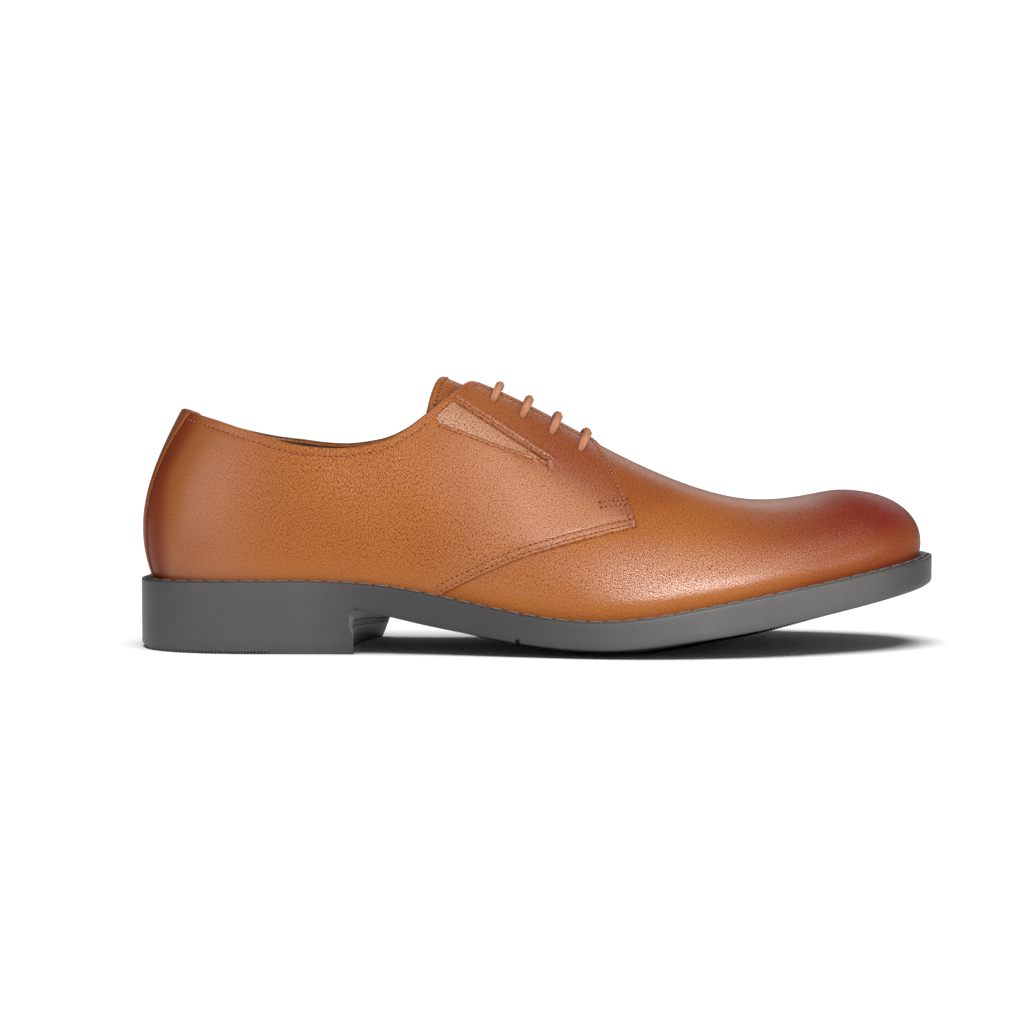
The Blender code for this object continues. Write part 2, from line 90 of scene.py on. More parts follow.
# Lines cut across the wall, seen from the side
Mark = namedtuple("Mark", "x z")
TOPLINE = (
    Mark(10.0, 92.0), Mark(23.6, 87.5), Mark(38.1, 82.9), Mark(54.3, 78.8), Mark(66.0, 76.9),
    Mark(78.2, 76.3), Mark(86.1, 77.2), Mark(94.0, 79.1), Mark(100.6, 82.4), Mark(109.3, 88.7),
    Mark(119.1, 96.6), Mark(125.0, 100.5),
    Mark(132.0, 105.0), Mark(160.0, 125.0),
)


def top_fall(i, foot_x, foot_y):
    """How far a section's top handle drops: its own column, and the slope of the ridge it leaves."""
    s = SECTIONS[i]
    if i < RIDGE_ROW or i == LAST_ROW:
        return s.top_down
    before, after = SECTIONS[max(i - 1, RIDGE_ROW)], SECTIONS[i + 1]
    slope = (after.top_z - before.top_z) / (after.top_x - before.top_x)
    away = (foot_x - s.top_x) / np.hypot(foot_x - s.top_x, foot_y - s.axis_y)
    return s.top_down - s.top_out * away * slope


def loop_row(i, side):
    """Columns of one side of a section."""
    s = SECTIONS[i]
    x, y, out = (s.base_x, s.lateral_y, s.lateral_out) if side < 0 else (s.base_x + s.skew, s.medial_y, s.medial_out)
    return (x, y, s.base_z, s.top_x, s.axis_y, s.top_z, out, s.base_up, s.top_out, top_fall(i, x, y), s.rim,
            s.edge_z, s.tread_z, s.rounding, side * s.top_half)


# The columns of such a row
(FOOT_X, FOOT_Y, BASE_Z, TOP_X, AXIS_Y, TOP_Z, BASE_OUT, BASE_UP, TOP_OUT, TOP_DOWN, RIM, EDGE_Z, TREAD_Z, ROUNDING,
 TOP_SIDE) = range(15)
# The closed base line runs along the lateral side to the toe and back along the medial side
LOOP = np.array([loop_row(i, -1) for i in range(ROWS)] + [loop_row(i, 1) for i in range(ROWS - 2, 0, -1)], float)
COUNT = len(LOOP)
STEP = np.linalg.norm(np.roll(LOOP[:, :2], -1, axis=0) - LOOP[:, :2], axis=1)
KNOT = np.concatenate([[0.0], np.cumsum(STEP)])


def loop_slopes():
    """Slopes of a smooth closed curve through the section columns."""
    matrix = np.zeros((COUNT, COUNT))
    right = np.zeros_like(LOOP)
    for i in range(COUNT):
        before, after = STEP[i - 1], STEP[i]
        k = (i + 1) % COUNT
        matrix[i, i - 1] += 1 / before
        matrix[i, i] += 2 / before + 2 / after
        matrix[i, k] += 1 / after
        right[i] = 3 * ((LOOP[i] - LOOP[i - 1]) / before**2 + (LOOP[k] - LOOP[i]) / after**2)
    slopes = np.linalg.solve(matrix, right)
    # The ridge stays exactly on the axis where the top has no width
    on_ridge = LOOP[:, TOP_SIDE] == 0
    on_ridge[0] = False
    slopes[on_ridge, TOP_SIDE] = 0
    return slopes


SLOPE = loop_slopes()


def cubic(f, h, a, b, m, n):
    """Curve from value a with slope m to value b with slope n, at share f of a step h."""
    ends = a * (1 + 2 * f) * (1 - f) ** 2 + b * f * f * (3 - 2 * f)
    return ends + h * (m * f * (1 - f) ** 2 + n * f * f * (f - 1))


def section_at(u):
    """Section columns at distance u round the base line."""
    u = np.asarray(u, float) % KNOT[-1]
    i = np.clip(np.searchsorted(KNOT, u, side="right") - 1, 0, COUNT - 1)
    k = (i + 1) % COUNT
    f = ((u - KNOT[i]) / STEP[i])[..., None]
    return cubic(f, STEP[i][..., None], LOOP[i], LOOP[k], SLOPE[i], SLOPE[k])


def around(row, side):
    """Distance round the base line of a section row: side -1 is lateral, +1 medial."""
    if side < 0:
        return np.interp(row, np.arange(ROWS), KNOT[:ROWS])
    return np.interp(row, np.arange(ROWS), KNOT[COUNT - np.arange(ROWS)])


def alike(*values):
    """Arrays of one shape."""
    return np.broadcast_arrays(*(np.asarray(value, float) for value in values))


def wall(u, t):
    """Outside of the upper: u round the base line, t from the sole to the top of the section."""
    u, t = alike(u, t)
    p = section_at(u)
    foot = p[..., [FOOT_X, FOOT_Y]]
    top = np.stack([p[..., TOP_X], p[..., AXIS_Y] + p[..., TOP_SIDE]], axis=-1)
    reach = np.linalg.norm(foot - top, axis=-1)
    away = (foot - top) / reach[..., None]
    b0, b1, b2, b3 = (1 - t) ** 3, 3 * (1 - t) ** 2 * t, 3 * (1 - t) * t * t, t**3
    r = b0 * reach + b1 * (reach + p[..., BASE_OUT]) + b2 * p[..., TOP_OUT]
    base, top_z = p[..., BASE_Z], p[..., TOP_Z]
    z = b0 * base + b1 * (base + p[..., BASE_UP]) + b2 * (top_z - p[..., TOP_DOWN]) + b3 * top_z
    return np.concatenate([top + away * r[..., None], z[..., None]], axis=-1)


def unit(vectors):
    return vectors / np.linalg.norm(vectors, axis=-1, keepdims=True)


def wall_frame(u, t):
    """Directions of the wall along u and t, for a unit of each, and its outward normal."""
    u, t = alike(u, t)
    along = wall(u + 0.5, t) - wall(u - 0.5, t)
    low, high = np.maximum(t - 0.004, TUCK), np.minimum(t + 0.004, 1)
    upward = (wall(u, high) - wall(u, low)) / (high - low)[..., None]
    return along, upward, unit(np.cross(along, upward))


def skin(u, t, offset):
    """The wall moved out along its normal."""
    return wall(u, t) + np.asarray(offset, float)[..., None] * wall_frame(u, t)[2]


def line_height(x, marks):
    """Height at x of a smooth line through the marks."""
    mx = np.array([m.x for m in marks])
    mz = np.array([m.z for m in marks])
    slope = np.gradient(mz, mx)
    i = np.clip(np.searchsorted(mx, x, side="right") - 1, 0, len(mx) - 2)
    h = mx[i + 1] - mx[i]
    return cubic(np.clip((x - mx[i]) / h, 0, 1), h, mz[i], mz[i + 1], slope[i], slope[i + 1])


def first_above(u, level):
    """Lowest t at which a section rises past a level, given as a function of its points, else 1."""
    t = np.linspace(0, 1, 241)
    height = level(wall(u, t))
    k = np.argmax(height > 0)
    if height[k] <= 0:
        return 1.0
    if k == 0:
        return 0.0
    return t[k - 1] + (t[k] - t[k - 1]) * height[k - 1] / (height[k - 1] - height[k])


def above_topline(p):
    """Height above the topline, which stands a little higher on the lateral side of the heel."""
    lean = COLLAR_LEAN * np.sin(np.pi * np.clip((p[..., 0] - 2) / 58, 0, 1)) * np.clip(-p[..., 1] / 22, -1, 1)
    return p[..., 2] - line_height(p[..., 0], TOPLINE) - lean


def inside_throat(p):
    half = THROAT_HALF_GAP * np.sqrt(np.clip((THROAT_END - p[..., 0]) / 8.0, 0, 1))
    return np.where(p[..., 0] > 100, half - np.abs(p[..., 1]), -50.0)


def above_edge(p):
    """Positive past the topline or in the throat, with a round corner where they meet."""
    a, b = above_topline(p), inside_throat(p)
    return np.maximum(a, b) + np.maximum(FACING_CORNER - np.abs(a - b), 0) ** 2 / (4 * FACING_CORNER)


def wall_top(u):
    """Where the upper ends on a section: topline, facing edge or ridge."""
    return first_above(u, above_edge)


def base_normal(u):
    along = unit((section_at(u + 0.5) - section_at(u - 0.5))[..., :2])
    return np.stack([along[..., 1], -along[..., 0]], axis=-1)


def beside(u, outset, z):
    """Point at height z, outset from the base line in plan."""
    u, outset, z = alike(u, outset, z)
    xy = section_at(u)[..., :2] + base_normal(u) * outset[..., None]
    return np.concatenate([xy, z[..., None]], axis=-1)


u = np.linspace(0, KNOT[-1], 1200)
OUTLINE = beside(u, section_at(u)[:, RIM], 0.0)
CENTRE = np.array([*(OUTLINE.min(axis=0) + OUTLINE.max(axis=0))[:2] / 2, 0.0])


def to_linear(colour):
    """An sRGB hex value as linear colour."""
    parts = [int(colour[i:i + 2], 16) / 255 for i in (1, 3, 5)]
    return (*[c / 12.92 if c <= 0.04045 else ((c + 0.055) / 1.055) ** 2.4 for c in parts], 1.0)


def add_node(material, kind, inputs=None, **settings):
    """Adds one shader node with its settings. An input is a value, a socket that it is linked to, or a node
    whose first output it is linked to. A Mix node has its numbers in inputs 2 and 3 and output 0, its vectors
    in 4, 5 and 1, and its colours in 6, 7 and 2."""
    tree = material.node_tree
    made = tree.nodes.new("ShaderNode" + kind)
    for name, value in settings.items():
        setattr(made, name, value)
    for name, value in (inputs or {}).items():
        if isinstance(value, bpy.types.Node):
            value = value.outputs[0]
        if isinstance(value, bpy.types.NodeSocket):
            tree.links.new(value, made.inputs[name])
        else:
            made.inputs[name].default_value = value
    return made


def bare_material(name):
    """A material without nodes."""
    made = bpy.data.materials.new(name)
    made.use_nodes = True
    made.node_tree.nodes.clear()
    return made


def burnished_calf(name, tan, burnt, grain, depth, roughness):
    """Aniline-dyed calf, hand burnished: the grain shows as fine pebbles that break up a soft gloss; their tops are
    painted paler and whiter, a painted sheen. The dye runs from tan to red-brown with the burnish mark of the mesh,
    and wax brushed up where the polish mark is high lies on the pebbles as a second, sharper gloss."""
    leather = bare_material(name)
    place = add_node(leather, "TexCoord").outputs["Object"]
    hide = add_node(leather, "Attribute", attribute_name="hide").outputs["Vector"]
    wander = add_node(leather, "TexNoise", {"Vector": place, "Scale": 1 / (5 * MM), "Detail": 2.0})
    bent = add_node(leather, "VectorMath", {0: wander.outputs["Color"], "Scale": 1.4}, operation="SCALE")
    moved = add_node(leather, "VectorMath", {0: hide, 1: bent})
    laid = add_node(leather, "Mapping", {"Vector": moved, "Rotation": (0.0, 0.0, 0.6)})
    pebbles = add_node(leather, "TexVoronoi", {"Vector": laid, "Scale": 1 / grain, "Randomness": 0.55},
                       voronoi_dimensions="2D")  # Its first output is the distance from a pebble's middle
    # Fine wrinkles run down from the instep to the toe
    flow = add_node(leather, "Mapping", {"Vector": moved, "Scale": (0.22, 1.0, 1.0)})
    wrinkles = add_node(leather, "TexNoise", {"Vector": flow, "Scale": 1 / (1.4 * grain), "Detail": 2.0},
                        noise_dimensions="2D")
    relief = add_node(leather, "Math", {0: pebbles, 1: -1.0, 2: wrinkles}, operation="MULTIPLY_ADD")
    grain_mark = add_node(leather, "Attribute", attribute_name="grain")
    bump = add_node(leather, "Bump", {"Height": relief, "Distance": depth * MM,
                    "Strength": grain_mark.outputs["Fac"]})
    cloud = add_node(leather, "TexNoise", {"Vector": place, "Scale": 1 / (22 * MM), "Detail": 4.0})
    burn_mark = add_node(leather, "Attribute", attribute_name="burnish")
    uneven = add_node(leather, "Math", {0: cloud, 1: 0.3, 2: -0.15}, operation="MULTIPLY_ADD")
    amount = add_node(leather, "Math", {0: burn_mark.outputs["Fac"], 1: uneven},
                      operation="ADD", use_clamp=True)
    dye = add_node(leather, "Mix", {0: amount, 6: to_linear(tan), 7: to_linear(burnt)}, data_type="RGBA").outputs[2]
    # The dye gathers in the pits and is rubbed thin on the pebbles, whose tops are also painted paler and whiter as
    # a painted sheen
    height = add_node(leather, "MapRange", {"Value": pebbles, "From Min": 0.05,
                      "From Max": 0.6, "To Min": 1.0, "To Max": 0.0})
    rubbed = add_node(leather, "Mix", {0: grain_mark.outputs["Fac"], 2: 0.5, 3: height})
    deep = add_node(leather, "VectorMath", {0: dye, 1: (0.61, 0.54, 0.46)}, operation="MULTIPLY")
    pale_painted_sheen = add_node(leather, "VectorMath", {0: dye, 1: (1.3, 1.75, 2.45)}, operation="MULTIPLY")
    shade = add_node(leather, "Mix", {0: rubbed, 4: deep, 5: pale_painted_sheen}, data_type="VECTOR")
    gloss = add_node(leather, "MapRange", {"Value": cloud, "To Min": roughness - 0.05,
                     "To Max": roughness + 0.05})
    polish_mark = add_node(leather, "Attribute", attribute_name="polish")
    wax = add_node(leather, "Math", {0: polish_mark.outputs["Fac"], 1: rubbed}, operation="MULTIPLY")
    surface = add_node(leather, "BsdfPrincipled", {
        "Base Color": shade.outputs[1], "Roughness": gloss, "Normal": bump, "Specular IOR Level": 0.03,
        "Coat Weight": wax, "Coat Roughness": 0.27, "Coat IOR": 1.95, "Coat Normal": bump})
    add_node(leather, "OutputMaterial", {0: surface})
    return leather


def grid_mesh(grid):
    """Points of a grid, counted line by line, and its quads."""
    grid = np.asarray(grid)
    lines, columns = grid.shape[:2]
    k = np.arange(lines - 1)[:, None] * columns + np.arange(columns - 1)
    quads = np.stack([k, k + columns, k + columns + 1, k + 1], axis=-1)
    return grid.reshape(-1, 3), quads.reshape(-1, 4).tolist()


def tree_of(points):
    """Search tree for the point nearest to another."""
    tree = kdtree.KDTree(len(points))
    for k, p in enumerate(points):
        tree.insert(p, k)
    tree.balance()
    return tree


def add_object(name, data):
    made = bpy.data.objects.new(name, data)
    bpy.context.scene.collection.objects.link(made)
    return made


pieces = bpy.data.collections.new("shoe_pieces")


def make_piece(name, points, faces, finish, slot, weld=False, looks=None, **marks):
    """A smooth mesh that rides on the shoe: marks are functions of its points, stored for its material."""
    mesh = bpy.data.meshes.new(name)
    mesh.from_pydata(((np.asarray(points) - CENTRE) * MM).tolist(), [], faces)
    if looks is not None:
        mesh.polygons.foreach_set("material_index", np.asarray(looks, np.int32))
    if weld:
        welded = bmesh.new()
        welded.from_mesh(mesh)
        bmesh.ops.remove_doubles(welded, verts=welded.verts, dist=0.02 * MM)
        bmesh.ops.recalc_face_normals(welded, faces=welded.faces)
        welded.to_mesh(mesh)
        welded.free()
    mesh.polygons.foreach_set("use_smooth", np.ones(len(mesh.polygons), bool))
    place = np.empty(3 * len(mesh.vertices))
    mesh.vertices.foreach_get("co", place)
    place = place.reshape(-1, 3) / MM + CENTRE
    for mark, value in marks.items():
        values = np.asarray(value(place), np.float32)
        single = values.ndim == 1
        stored = mesh.attributes.new(mark, "FLOAT" if single else "FLOAT_VECTOR", "POINT")
        stored.data.foreach_set("value" if single else "vector", values.ravel())
    for look in finish if isinstance(finish, tuple) else (finish,):
        mesh.materials.append(look)
    piece = add_object(name, mesh)
    pieces.objects.link(piece)
    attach(piece, "root")
    return piece


def ease(value, low, high):
    """0 below low, 1 above high and smooth between them. Low may be the larger."""
    f = np.clip((value - low) / (high - low), 0, 1)
    return f * f * (3 - 2 * f)


def hide_place(p):
    """Place on the flat hide in mm: along the base line from the back seam, and up the wall from it. Over
    the ridge it is counted straight along the shoe, so that the two sides meet there."""
    found = [base_line.find((x, y, 0))[1:] for x, y, _ in p]
    nearest, gap = np.array([k for k, _ in found]), np.array([far for _, far in found])
    along = np.minimum(base_u, KNOT[-1] - base_u)[nearest]
    straight_on = np.interp(p[:, 0], base_x[:len(base_u) // 2], base_u[:len(base_u) // 2])
    return np.stack([along + ease(gap, 6, 22) * (straight_on - along), 0.7 * (p[:, 2] + gap), 0 * gap], axis=1)


def above_sole(p):
    return p[:, 2] - np.interp(p[:, 0], [s.base_x for s in SECTIONS], [s.base_z for s in SECTIONS])


def vamp_burnish(p):
    """Dark over the top and tip of the toe and round the throat, with a thin dark line at the sole."""
    rise = above_sole(p)
    toe = ease(p[:, 0] + 0.3 * (p[:, 2] - 45), 204, 288)
    throat = 0.35 * ease(p[:, 0], 225, 196) * ease(p[:, 2], 46, 60)
    return 0.08 + toe * (0.6 + 0.4 * ease(rise, 6, 20)) + throat + 0.2 * ease(rise, 3.0, 0.0)


def vamp_polish(p):
    """Brushed to a gloss along its sides, above the sole, and along its ridge."""
    rise = above_sole(p)
    along = np.interp(p[:, 0], [165, 178, 275, 295], [0.4, 1.0, 1.0, 0.6])
    top = 0.8 * ease(abs(p[:, 1]), 22, 8) * ease(p[:, 0], 272, 252)
    return 0.05 + 0.95 * along * ease(rise, 3, 8) * ease(rise, 34, 16) + top


def calf_grain(p):
    """Grain is polished flat over the heel stiffener and pulled smooth near the sole."""
    rise = above_sole(p)
    return (0.3 + 0.7 * ease(p[:, 0], 20, 70)) * (0.5 + 0.5 * ease(rise, 3, 14))


def calf_piece(name, mesh, slot, burnish, polish, finish=None, grain=calf_grain, weld=False):
    """A piece of calf, with the marks that its finish reads."""
    return make_piece(name, *mesh, finish or calf, slot, weld=weld, burnish=burnish, hide=hide_place, grain=grain,
                      polish=polish)


base_u = np.linspace(0, KNOT[-1], 2400)
base_points = beside(base_u, 0, 0.0)
base_line = tree_of(base_points)
base_x = np.maximum.accumulate(base_points[:, 0])
# The finest grain of calf is under a pixel here, so its pebbles are drawn coarser, about 0.6 mm across
calf = burnished_calf("burnished_tan_calf", "#8f4f20", "#681d0d", 0.58, 0.07, 0.4)
rows = np.concatenate([np.linspace(0, 4, 60)[:-1], np.linspace(4, 12, 90)[:-1], np.linspace(12, LAST_ROW, 70)])
lines = np.linspace(0, 1, 56)
halves = {}
for side in (-1, 1):
    u = around(rows, side)
    tops = np.array([wall_top(v) for v in u])
    halves[side] = u, tops, wall(u[:, None], TUCK + (tops[:, None] - TUCK) * lines)
ridge = (halves[-1][1] == 1.0) & (halves[1][1] == 1.0)
shared = (halves[-1][2][ridge, -1] + halves[1][2][ridge, -1]) / 2
for _, _, points in halves.values():
    points[ridge, -1] = shared
points = np.concatenate([halves[-1][2], halves[1][2][-2::-1]])
vamp = calf_piece("vamp", grid_mesh(points), "tan_vamp_leather", vamp_burnish, vamp_polish, weld=True)
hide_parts("upper")

# Lining. A thin smooth leather skin is cemented to the inside of the upper and folded under with it.
# It shows only at the collar.
def plain_finish(name, light, dark, scale, depth, roughness, specular=0.5, detail=4.0, strength=0.5):
    """A finish of two close colours in fine patches, with a little relief."""
    made = bare_material(name)
    place = add_node(made, "TexCoord").outputs["Object"]
    cloud = add_node(made, "TexNoise", {"Vector": place, "Scale": 1 / (scale * MM), "Detail": detail})
    tone = add_node(made, "Mix", {0: cloud, 6: to_linear(dark), 7: to_linear(light)}, data_type="RGBA").outputs[2]
    bump = add_node(made, "Bump", {"Height": cloud, "Distance": depth * MM, "Strength": strength})
    surface = add_node(made, "BsdfPrincipled", {"Base Color": tone, "Roughness": roughness,
                       "Specular IOR Level": specular, "Normal": bump})
    add_node(made, "OutputMaterial", {0: surface})
    return made


# Smooth split leather: dull, with a faint cloudiness, painted very dark brown as the shade inside the shoe
lining_in_painted_shade = plain_finish("lining_leather_painted_shade", "#3a2517", "#24150d", 4.0, 0.2, 0.7, detail=5.0, strength=0.4)
wall_thickness = 1.8
sheets = [skin(u[:, None], 0.004 + (tops[:, None] - 0.004) * lines, -wall_thickness)
          for u, tops, _ in halves.values()]
for sheet in sheets:
    sheet[ridge, -1] = shared - np.array([0, 0, wall_thickness])
    sheet[ridge, -2] = (sheet[ridge, -3] + sheet[ridge, -1]) / 2
points = np.concatenate([sheets[0], sheets[1][-2::-1]])
make_piece("lining", *grid_mesh(points), lining_in_painted_shade, "tan_vamp_leather")

# Quarters. Two pieces of the same calf wrap the heel and the sides, sewn over the vamp with two rows of
# thread and closed by laces at the facings. Each has a folded edge, a window for its gusset and holes.
QUARTER = 1.3
FRONT_EDGE_ROW = 9.4
OVERLAY_FOOT = 0.012
QUARTER_EDGE = (
    Mark(95.0, 12.0), Mark(115.2, 22.1), Mark(133.0, 30.9), Mark(146.2, 36.4), Mark(159.2, 40.3),
    Mark(188.1, 47.4), Mark(220.0, 54.0),
)
# Place (u, t) from which a point near the gusset is searched for
GUSSET_GUESS = (140, 0.65)
GUSSET_WINDOW = (Mark(119.2, 93.2), Mark(113.0, 87.4), Mark(114.6, 85.3), Mark(154.6, 70.5))
# Each lace bar leaves the facing at its hole and crosses the throat at its crown
LaceBar = namedtuple("LaceBar", "hole_row hole_t crown_row")
LACES = (
    LaceBar(7.45, 0.815, 7.98),
    LaceBar(7.93, 0.781, 8.49),
    LaceBar(8.43, 0.762, 8.99),
    LaceBar(8.90, 0.745, 9.46),
)
ROLL_REACH = 0.9
# Rows of stitches, counted in from each kind of edge
LOWER_ROWS = (1.5, 3.6)
FRONT_ROW = 2.2
GUSSET_ROW = 1.6
# The wall is about this many millimetres high, where it is laid flat
FLAT_HEIGHT = 85.0


def quarter_foot(u):
    """Where the quarter begins on a section: at the sole, or on its stitched lower edge."""
    return max(first_above(u, lambda p: p[..., 2] - line_height(p[..., 0], QUARTER_EDGE)), OVERLAY_FOOT)


def step_on_wall(u, t, way):
    """(u, t) of points moved on the wall by vectors in millimetres."""
    along, upward, _ = wall_frame(u, t)
    a, b, c = (along * along).sum(-1), (along * upward).sum(-1), (upward * upward).sum(-1)
    p, q = (along * way).sum(-1), (upward * way).sum(-1)
    return np.stack([u + (c * p - b * q) / (a * c - b * b), t + (a * q - b * p) / (a * c - b * b)], axis=-1)


def left_of(path):
    """Unit directions to the left of a line on the wall, seen from outside."""
    return unit(np.cross(wall_frame(*path.T)[2], np.gradient(wall(*path.T), axis=0)))


def moved_left(path, distance):
    return step_on_wall(*path.T, distance * left_of(path))


def run_of(points):
    """Distance of each point of a line from its start."""
    return np.concatenate([[0], np.cumsum(np.linalg.norm(np.diff(points, axis=0), axis=1))])


def at_stops(stops, run, points):
    """Points of a line at distances from its start."""
    return np.stack([np.interp(stops, run, column) for column in points.T], axis=-1)


def spaced(path, step):
    """A line on the wall with its points about a step apart in millimetres."""
    run = run_of(wall(*path.T))
    return at_stops(np.linspace(0, run[-1], max(2, round(run[-1] / step) + 1)), run, path)


def on_wall(marks, u, t, side):
    """(u, t) of points given by x and z in side view, searched from a first guess."""
    marks = np.asarray(marks, float)
    u = np.full(len(marks), u if side < 0 else KNOT[-1] - u)
    t = np.full(len(marks), t)
    for _ in range(40):
        away = marks - wall(u, t)[:, [0, 2]]
        along, upward, _ = wall_frame(u, t)
        det = along[:, 0] * upward[:, 2] - upward[:, 0] * along[:, 2]
        u = u + np.clip((away[:, 0] * upward[:, 2] - upward[:, 0] * away[:, 1]) / det, -6, 6)
        t = np.clip(t + np.clip((along[:, 0] * away[:, 1] - away[:, 0] * along[:, 2]) / det, -0.05, 0.05), 0, 0.99)
    return np.stack([u if side < 0 else u - KNOT[-1], t], axis=-1)


def straight(a, b, u, t, side):
    """A line on the wall that looks straight from the side."""
    a, b = np.array(a, float), np.array(b, float)
    return on_wall(a + (b - a) * np.linspace(0, 1, 40)[:, None], u, t, side)


def inside(points, loop):
    """Whether points lie inside a closed loop, both in the flat."""
    x, y = points[:, :1], points[:, 1:]
    ax, ay = loop.T
    bx, by = np.roll(loop, -1, axis=0).T
    with np.errstate(divide="ignore", invalid="ignore"):
        crossed = ((ay > y) != (by > y)) & (x < (bx - ax) * (y - ay) / (by - ay) + ax)
    return crossed.sum(axis=1) % 2 == 1


def cut_leather(loops, insets, height, pitch=1.8):
    """A piece of leather cut to loops on the wall, its outline and then its holes, with leather on their left.

    A loop is a list of (line, name of that edge). Insets give each kind of edge its extra lines of
    points, and height the outside of the piece above the wall from the distances to each kind."""
    flat = np.array([1.0, FLAT_HEIGHT])
    rings, loose, samples = [], [], {}
    for loop in loops:
        lines = [spaced(line, 0.7) for line, _ in loop]
        rings.append(np.vstack([line[:-1] for line in lines]))
        for line, (whole, edge) in zip(lines, loop):
            samples.setdefault(edge, []).append(wall(*spaced(whole, 0.2).T))
            loose += [moved_left(line, inset) for inset in insets.get(edge, ())]
    trees = {edge: tree_of(np.vstack(found)) for edge, found in samples.items()}

    def within(points):
        """Whether points in the flat lie on the leather."""
        held = [inside(points, ring * flat) for ring in rings]
        return held[0] & ~np.any(held[1:], axis=0) if held[1:] else held[0]

    low, high = rings[0].min(axis=0), rings[0].max(axis=0)
    field = np.stack(np.meshgrid(np.arange(low[0], high[0], pitch), np.arange(low[1], high[1], pitch / FLAT_HEIGHT),
                                 indexing="ij"), axis=-1).reshape(-1, 2)
    loose = np.vstack([field, *loose])
    loose = loose[within(loose * flat)]
    edges, first = [], 0
    for ring in rings:
        edges += [(first + i, first + (i + 1) % len(ring)) for i in range(len(ring))]
        first += len(ring)
    corners = [Vector(p) for p in np.vstack([*rings, loose]) * flat]
    corners, _, faces, *_ = delaunay_2d_cdt(corners, edges, [], 0, 1e-4, False)
    corners, faces = np.array([tuple(p) for p in corners]), np.array(faces)
    faces = faces[within(corners[faces].mean(axis=1))].tolist()
    place = corners / flat
    away = {edge: np.array([tree.find(p)[2] for p in wall(*place.T)]) for edge, tree in trees.items()}
    return skin(*place.T, height(away)), faces


def rounded(distance, radius):
    """Section of a folded edge: 0 at the edge, 1 from its radius inwards."""
    return np.sqrt(1 - (1 - np.clip(distance / radius, 0, 1)) ** 2)


def ridge_at(distance, centre, width):
    return np.exp(-(((distance - centre) / width) ** 2))


def quarter_height(away):
    """Folded edges fall to the vamp, sewn rows sink in, and the facing has a corded edge at its gusset."""
    fall = np.minimum.reduce([rounded(away[edge], 0.8) for edge in ("lower", "front", "gusset", "facing", "fold")])
    fall = np.minimum(fall, rounded(away["hole"], 0.5))
    sewn = sum(ridge_at(away["lower"], row, 0.4) for row in LOWER_ROWS) + ridge_at(away["front"], FRONT_ROW, 0.4)
    sewn += ridge_at(away["rolled"], 2.6, 0.4) + ridge_at(away["gusset"], GUSSET_ROW, 0.35)
    corded = ridge_at(away["facing"], 0.7, 0.45) + 0.8 * ridge_at(away["facing"], 2.5, 0.5)
    return QUARTER * fall - 0.22 * sewn + 0.6 * corded - 0.35 * ridge_at(away["facing"], GUSSET_ROW, 0.4)


def from_seam(p):
    """Distance forward of the back strip, which widens towards the collar."""
    return p[:, 0] - 8 - 13 * ease(p[:, 2], 60, 92)


def quarter_burnish(p):
    """Dark at the back seam, a little over the facings, with a thin dark line at the sole."""
    above = p[:, 2] - (93.2 - 0.633 * (p[:, 0] - 118.6))
    facing = ease(above, -9, 4) * (0.15 * ease(p[:, 0], 108, 122) + 0.3 * ease(p[:, 0], 128, 160))
    rise = above_sole(p)
    seam = 0.2 * ease(p[:, 0], 65, 25) + 0.55 * ease(from_seam(p), 7, 0)
    return 0.08 + facing + seam + 0.25 * ease(rise, 3.0, 0.0)


def quarter_polish(p):
    """Brushed to a gloss over the heel stiffener and below the facings."""
    heel = 0.5 * ease(p[:, 0], 62, 30) * ease(from_seam(p), 1, 6)
    return 0.15 + heel + 0.75 * ease(p[:, 0], 105, 140)


def hole_loop(bar, side):
    """Round lace hole in a facing."""
    u, t = np.array([around(bar.hole_row, side) - (KNOT[-1] if side > 0 else 0)]), np.array([bar.hole_t])
    along, _, normal = wall_frame(u, t)
    along = unit(along)
    turn = -np.linspace(0, 2 * np.pi, 25)[:, None]
    way = 1.35 * (np.cos(turn) * along + np.sin(turn) * np.cross(normal, along))
    return step_on_wall(np.repeat(u, 25), np.repeat(t, 25), way)


def window_edges(side):
    """Edges of a gusset window, with the leather on their left."""
    top, back, low, tip = GUSSET_WINDOW
    edges = [(top, tip, "facing"), (tip, low, "gusset"), (low, back, "fold"), (back, top, "fold")]
    lines = [(straight(a, b, *GUSSET_GUESS, side), name) for a, b, name in edges]
    return lines if side < 0 else [(line[::-1], name) for line, name in lines[::-1]]


front = [around(FRONT_EDGE_ROW, 1) - KNOT[-1], around(FRONT_EDGE_ROW, -1)]
u = np.linspace(*front, 900)
foot = np.array([quarter_foot(v) for v in u])
head = np.array([wall_top(v) for v in u])
head -= ROLL_REACH / np.linalg.norm(wall_frame(u, head)[1], axis=-1)
sewn = np.flatnonzero(foot <= OVERLAY_FOOT)
first, last = sewn[0], sewn[-1]
foot[first:last + 1] = TUCK
lower = np.stack([u, foot], axis=-1)
collar = np.stack([u, head], axis=-1)[::-1]
front_edges = [np.stack([np.full(60, v), np.linspace(foot[k], head[k], 60)], axis=-1)
               for v, k in zip(front, (0, -1))]
outline = [(lower[:first + 1], "lower"), (lower[first:last + 1], "sole"), (lower[last:], "lower"),
           (front_edges[1], "front"), (collar, "rolled"), (front_edges[0][::-1], "front")]
windows = {side: window_edges(side) for side in (-1, 1)}
holes = [[(hole_loop(bar, side), "hole")] for side in (-1, 1) for bar in LACES]
edge_lines = (0.06, 0.2, 0.45, 0.8)
insets = {"lower": (*edge_lines, 1.1, 1.5, 1.9, 3.2, 3.6, 4.0), "front": (*edge_lines, 1.8, 2.2, 2.6),
          "gusset": (*edge_lines, 1.2, 1.6, 2.0), "facing": (*edge_lines, 1.2, 1.6, 2.0, 2.5, 3.0, 3.5),
          "hole": (0.06, 0.25, 0.5), "fold": edge_lines, "rolled": (0.7, 2.2, 2.6, 3.0)}
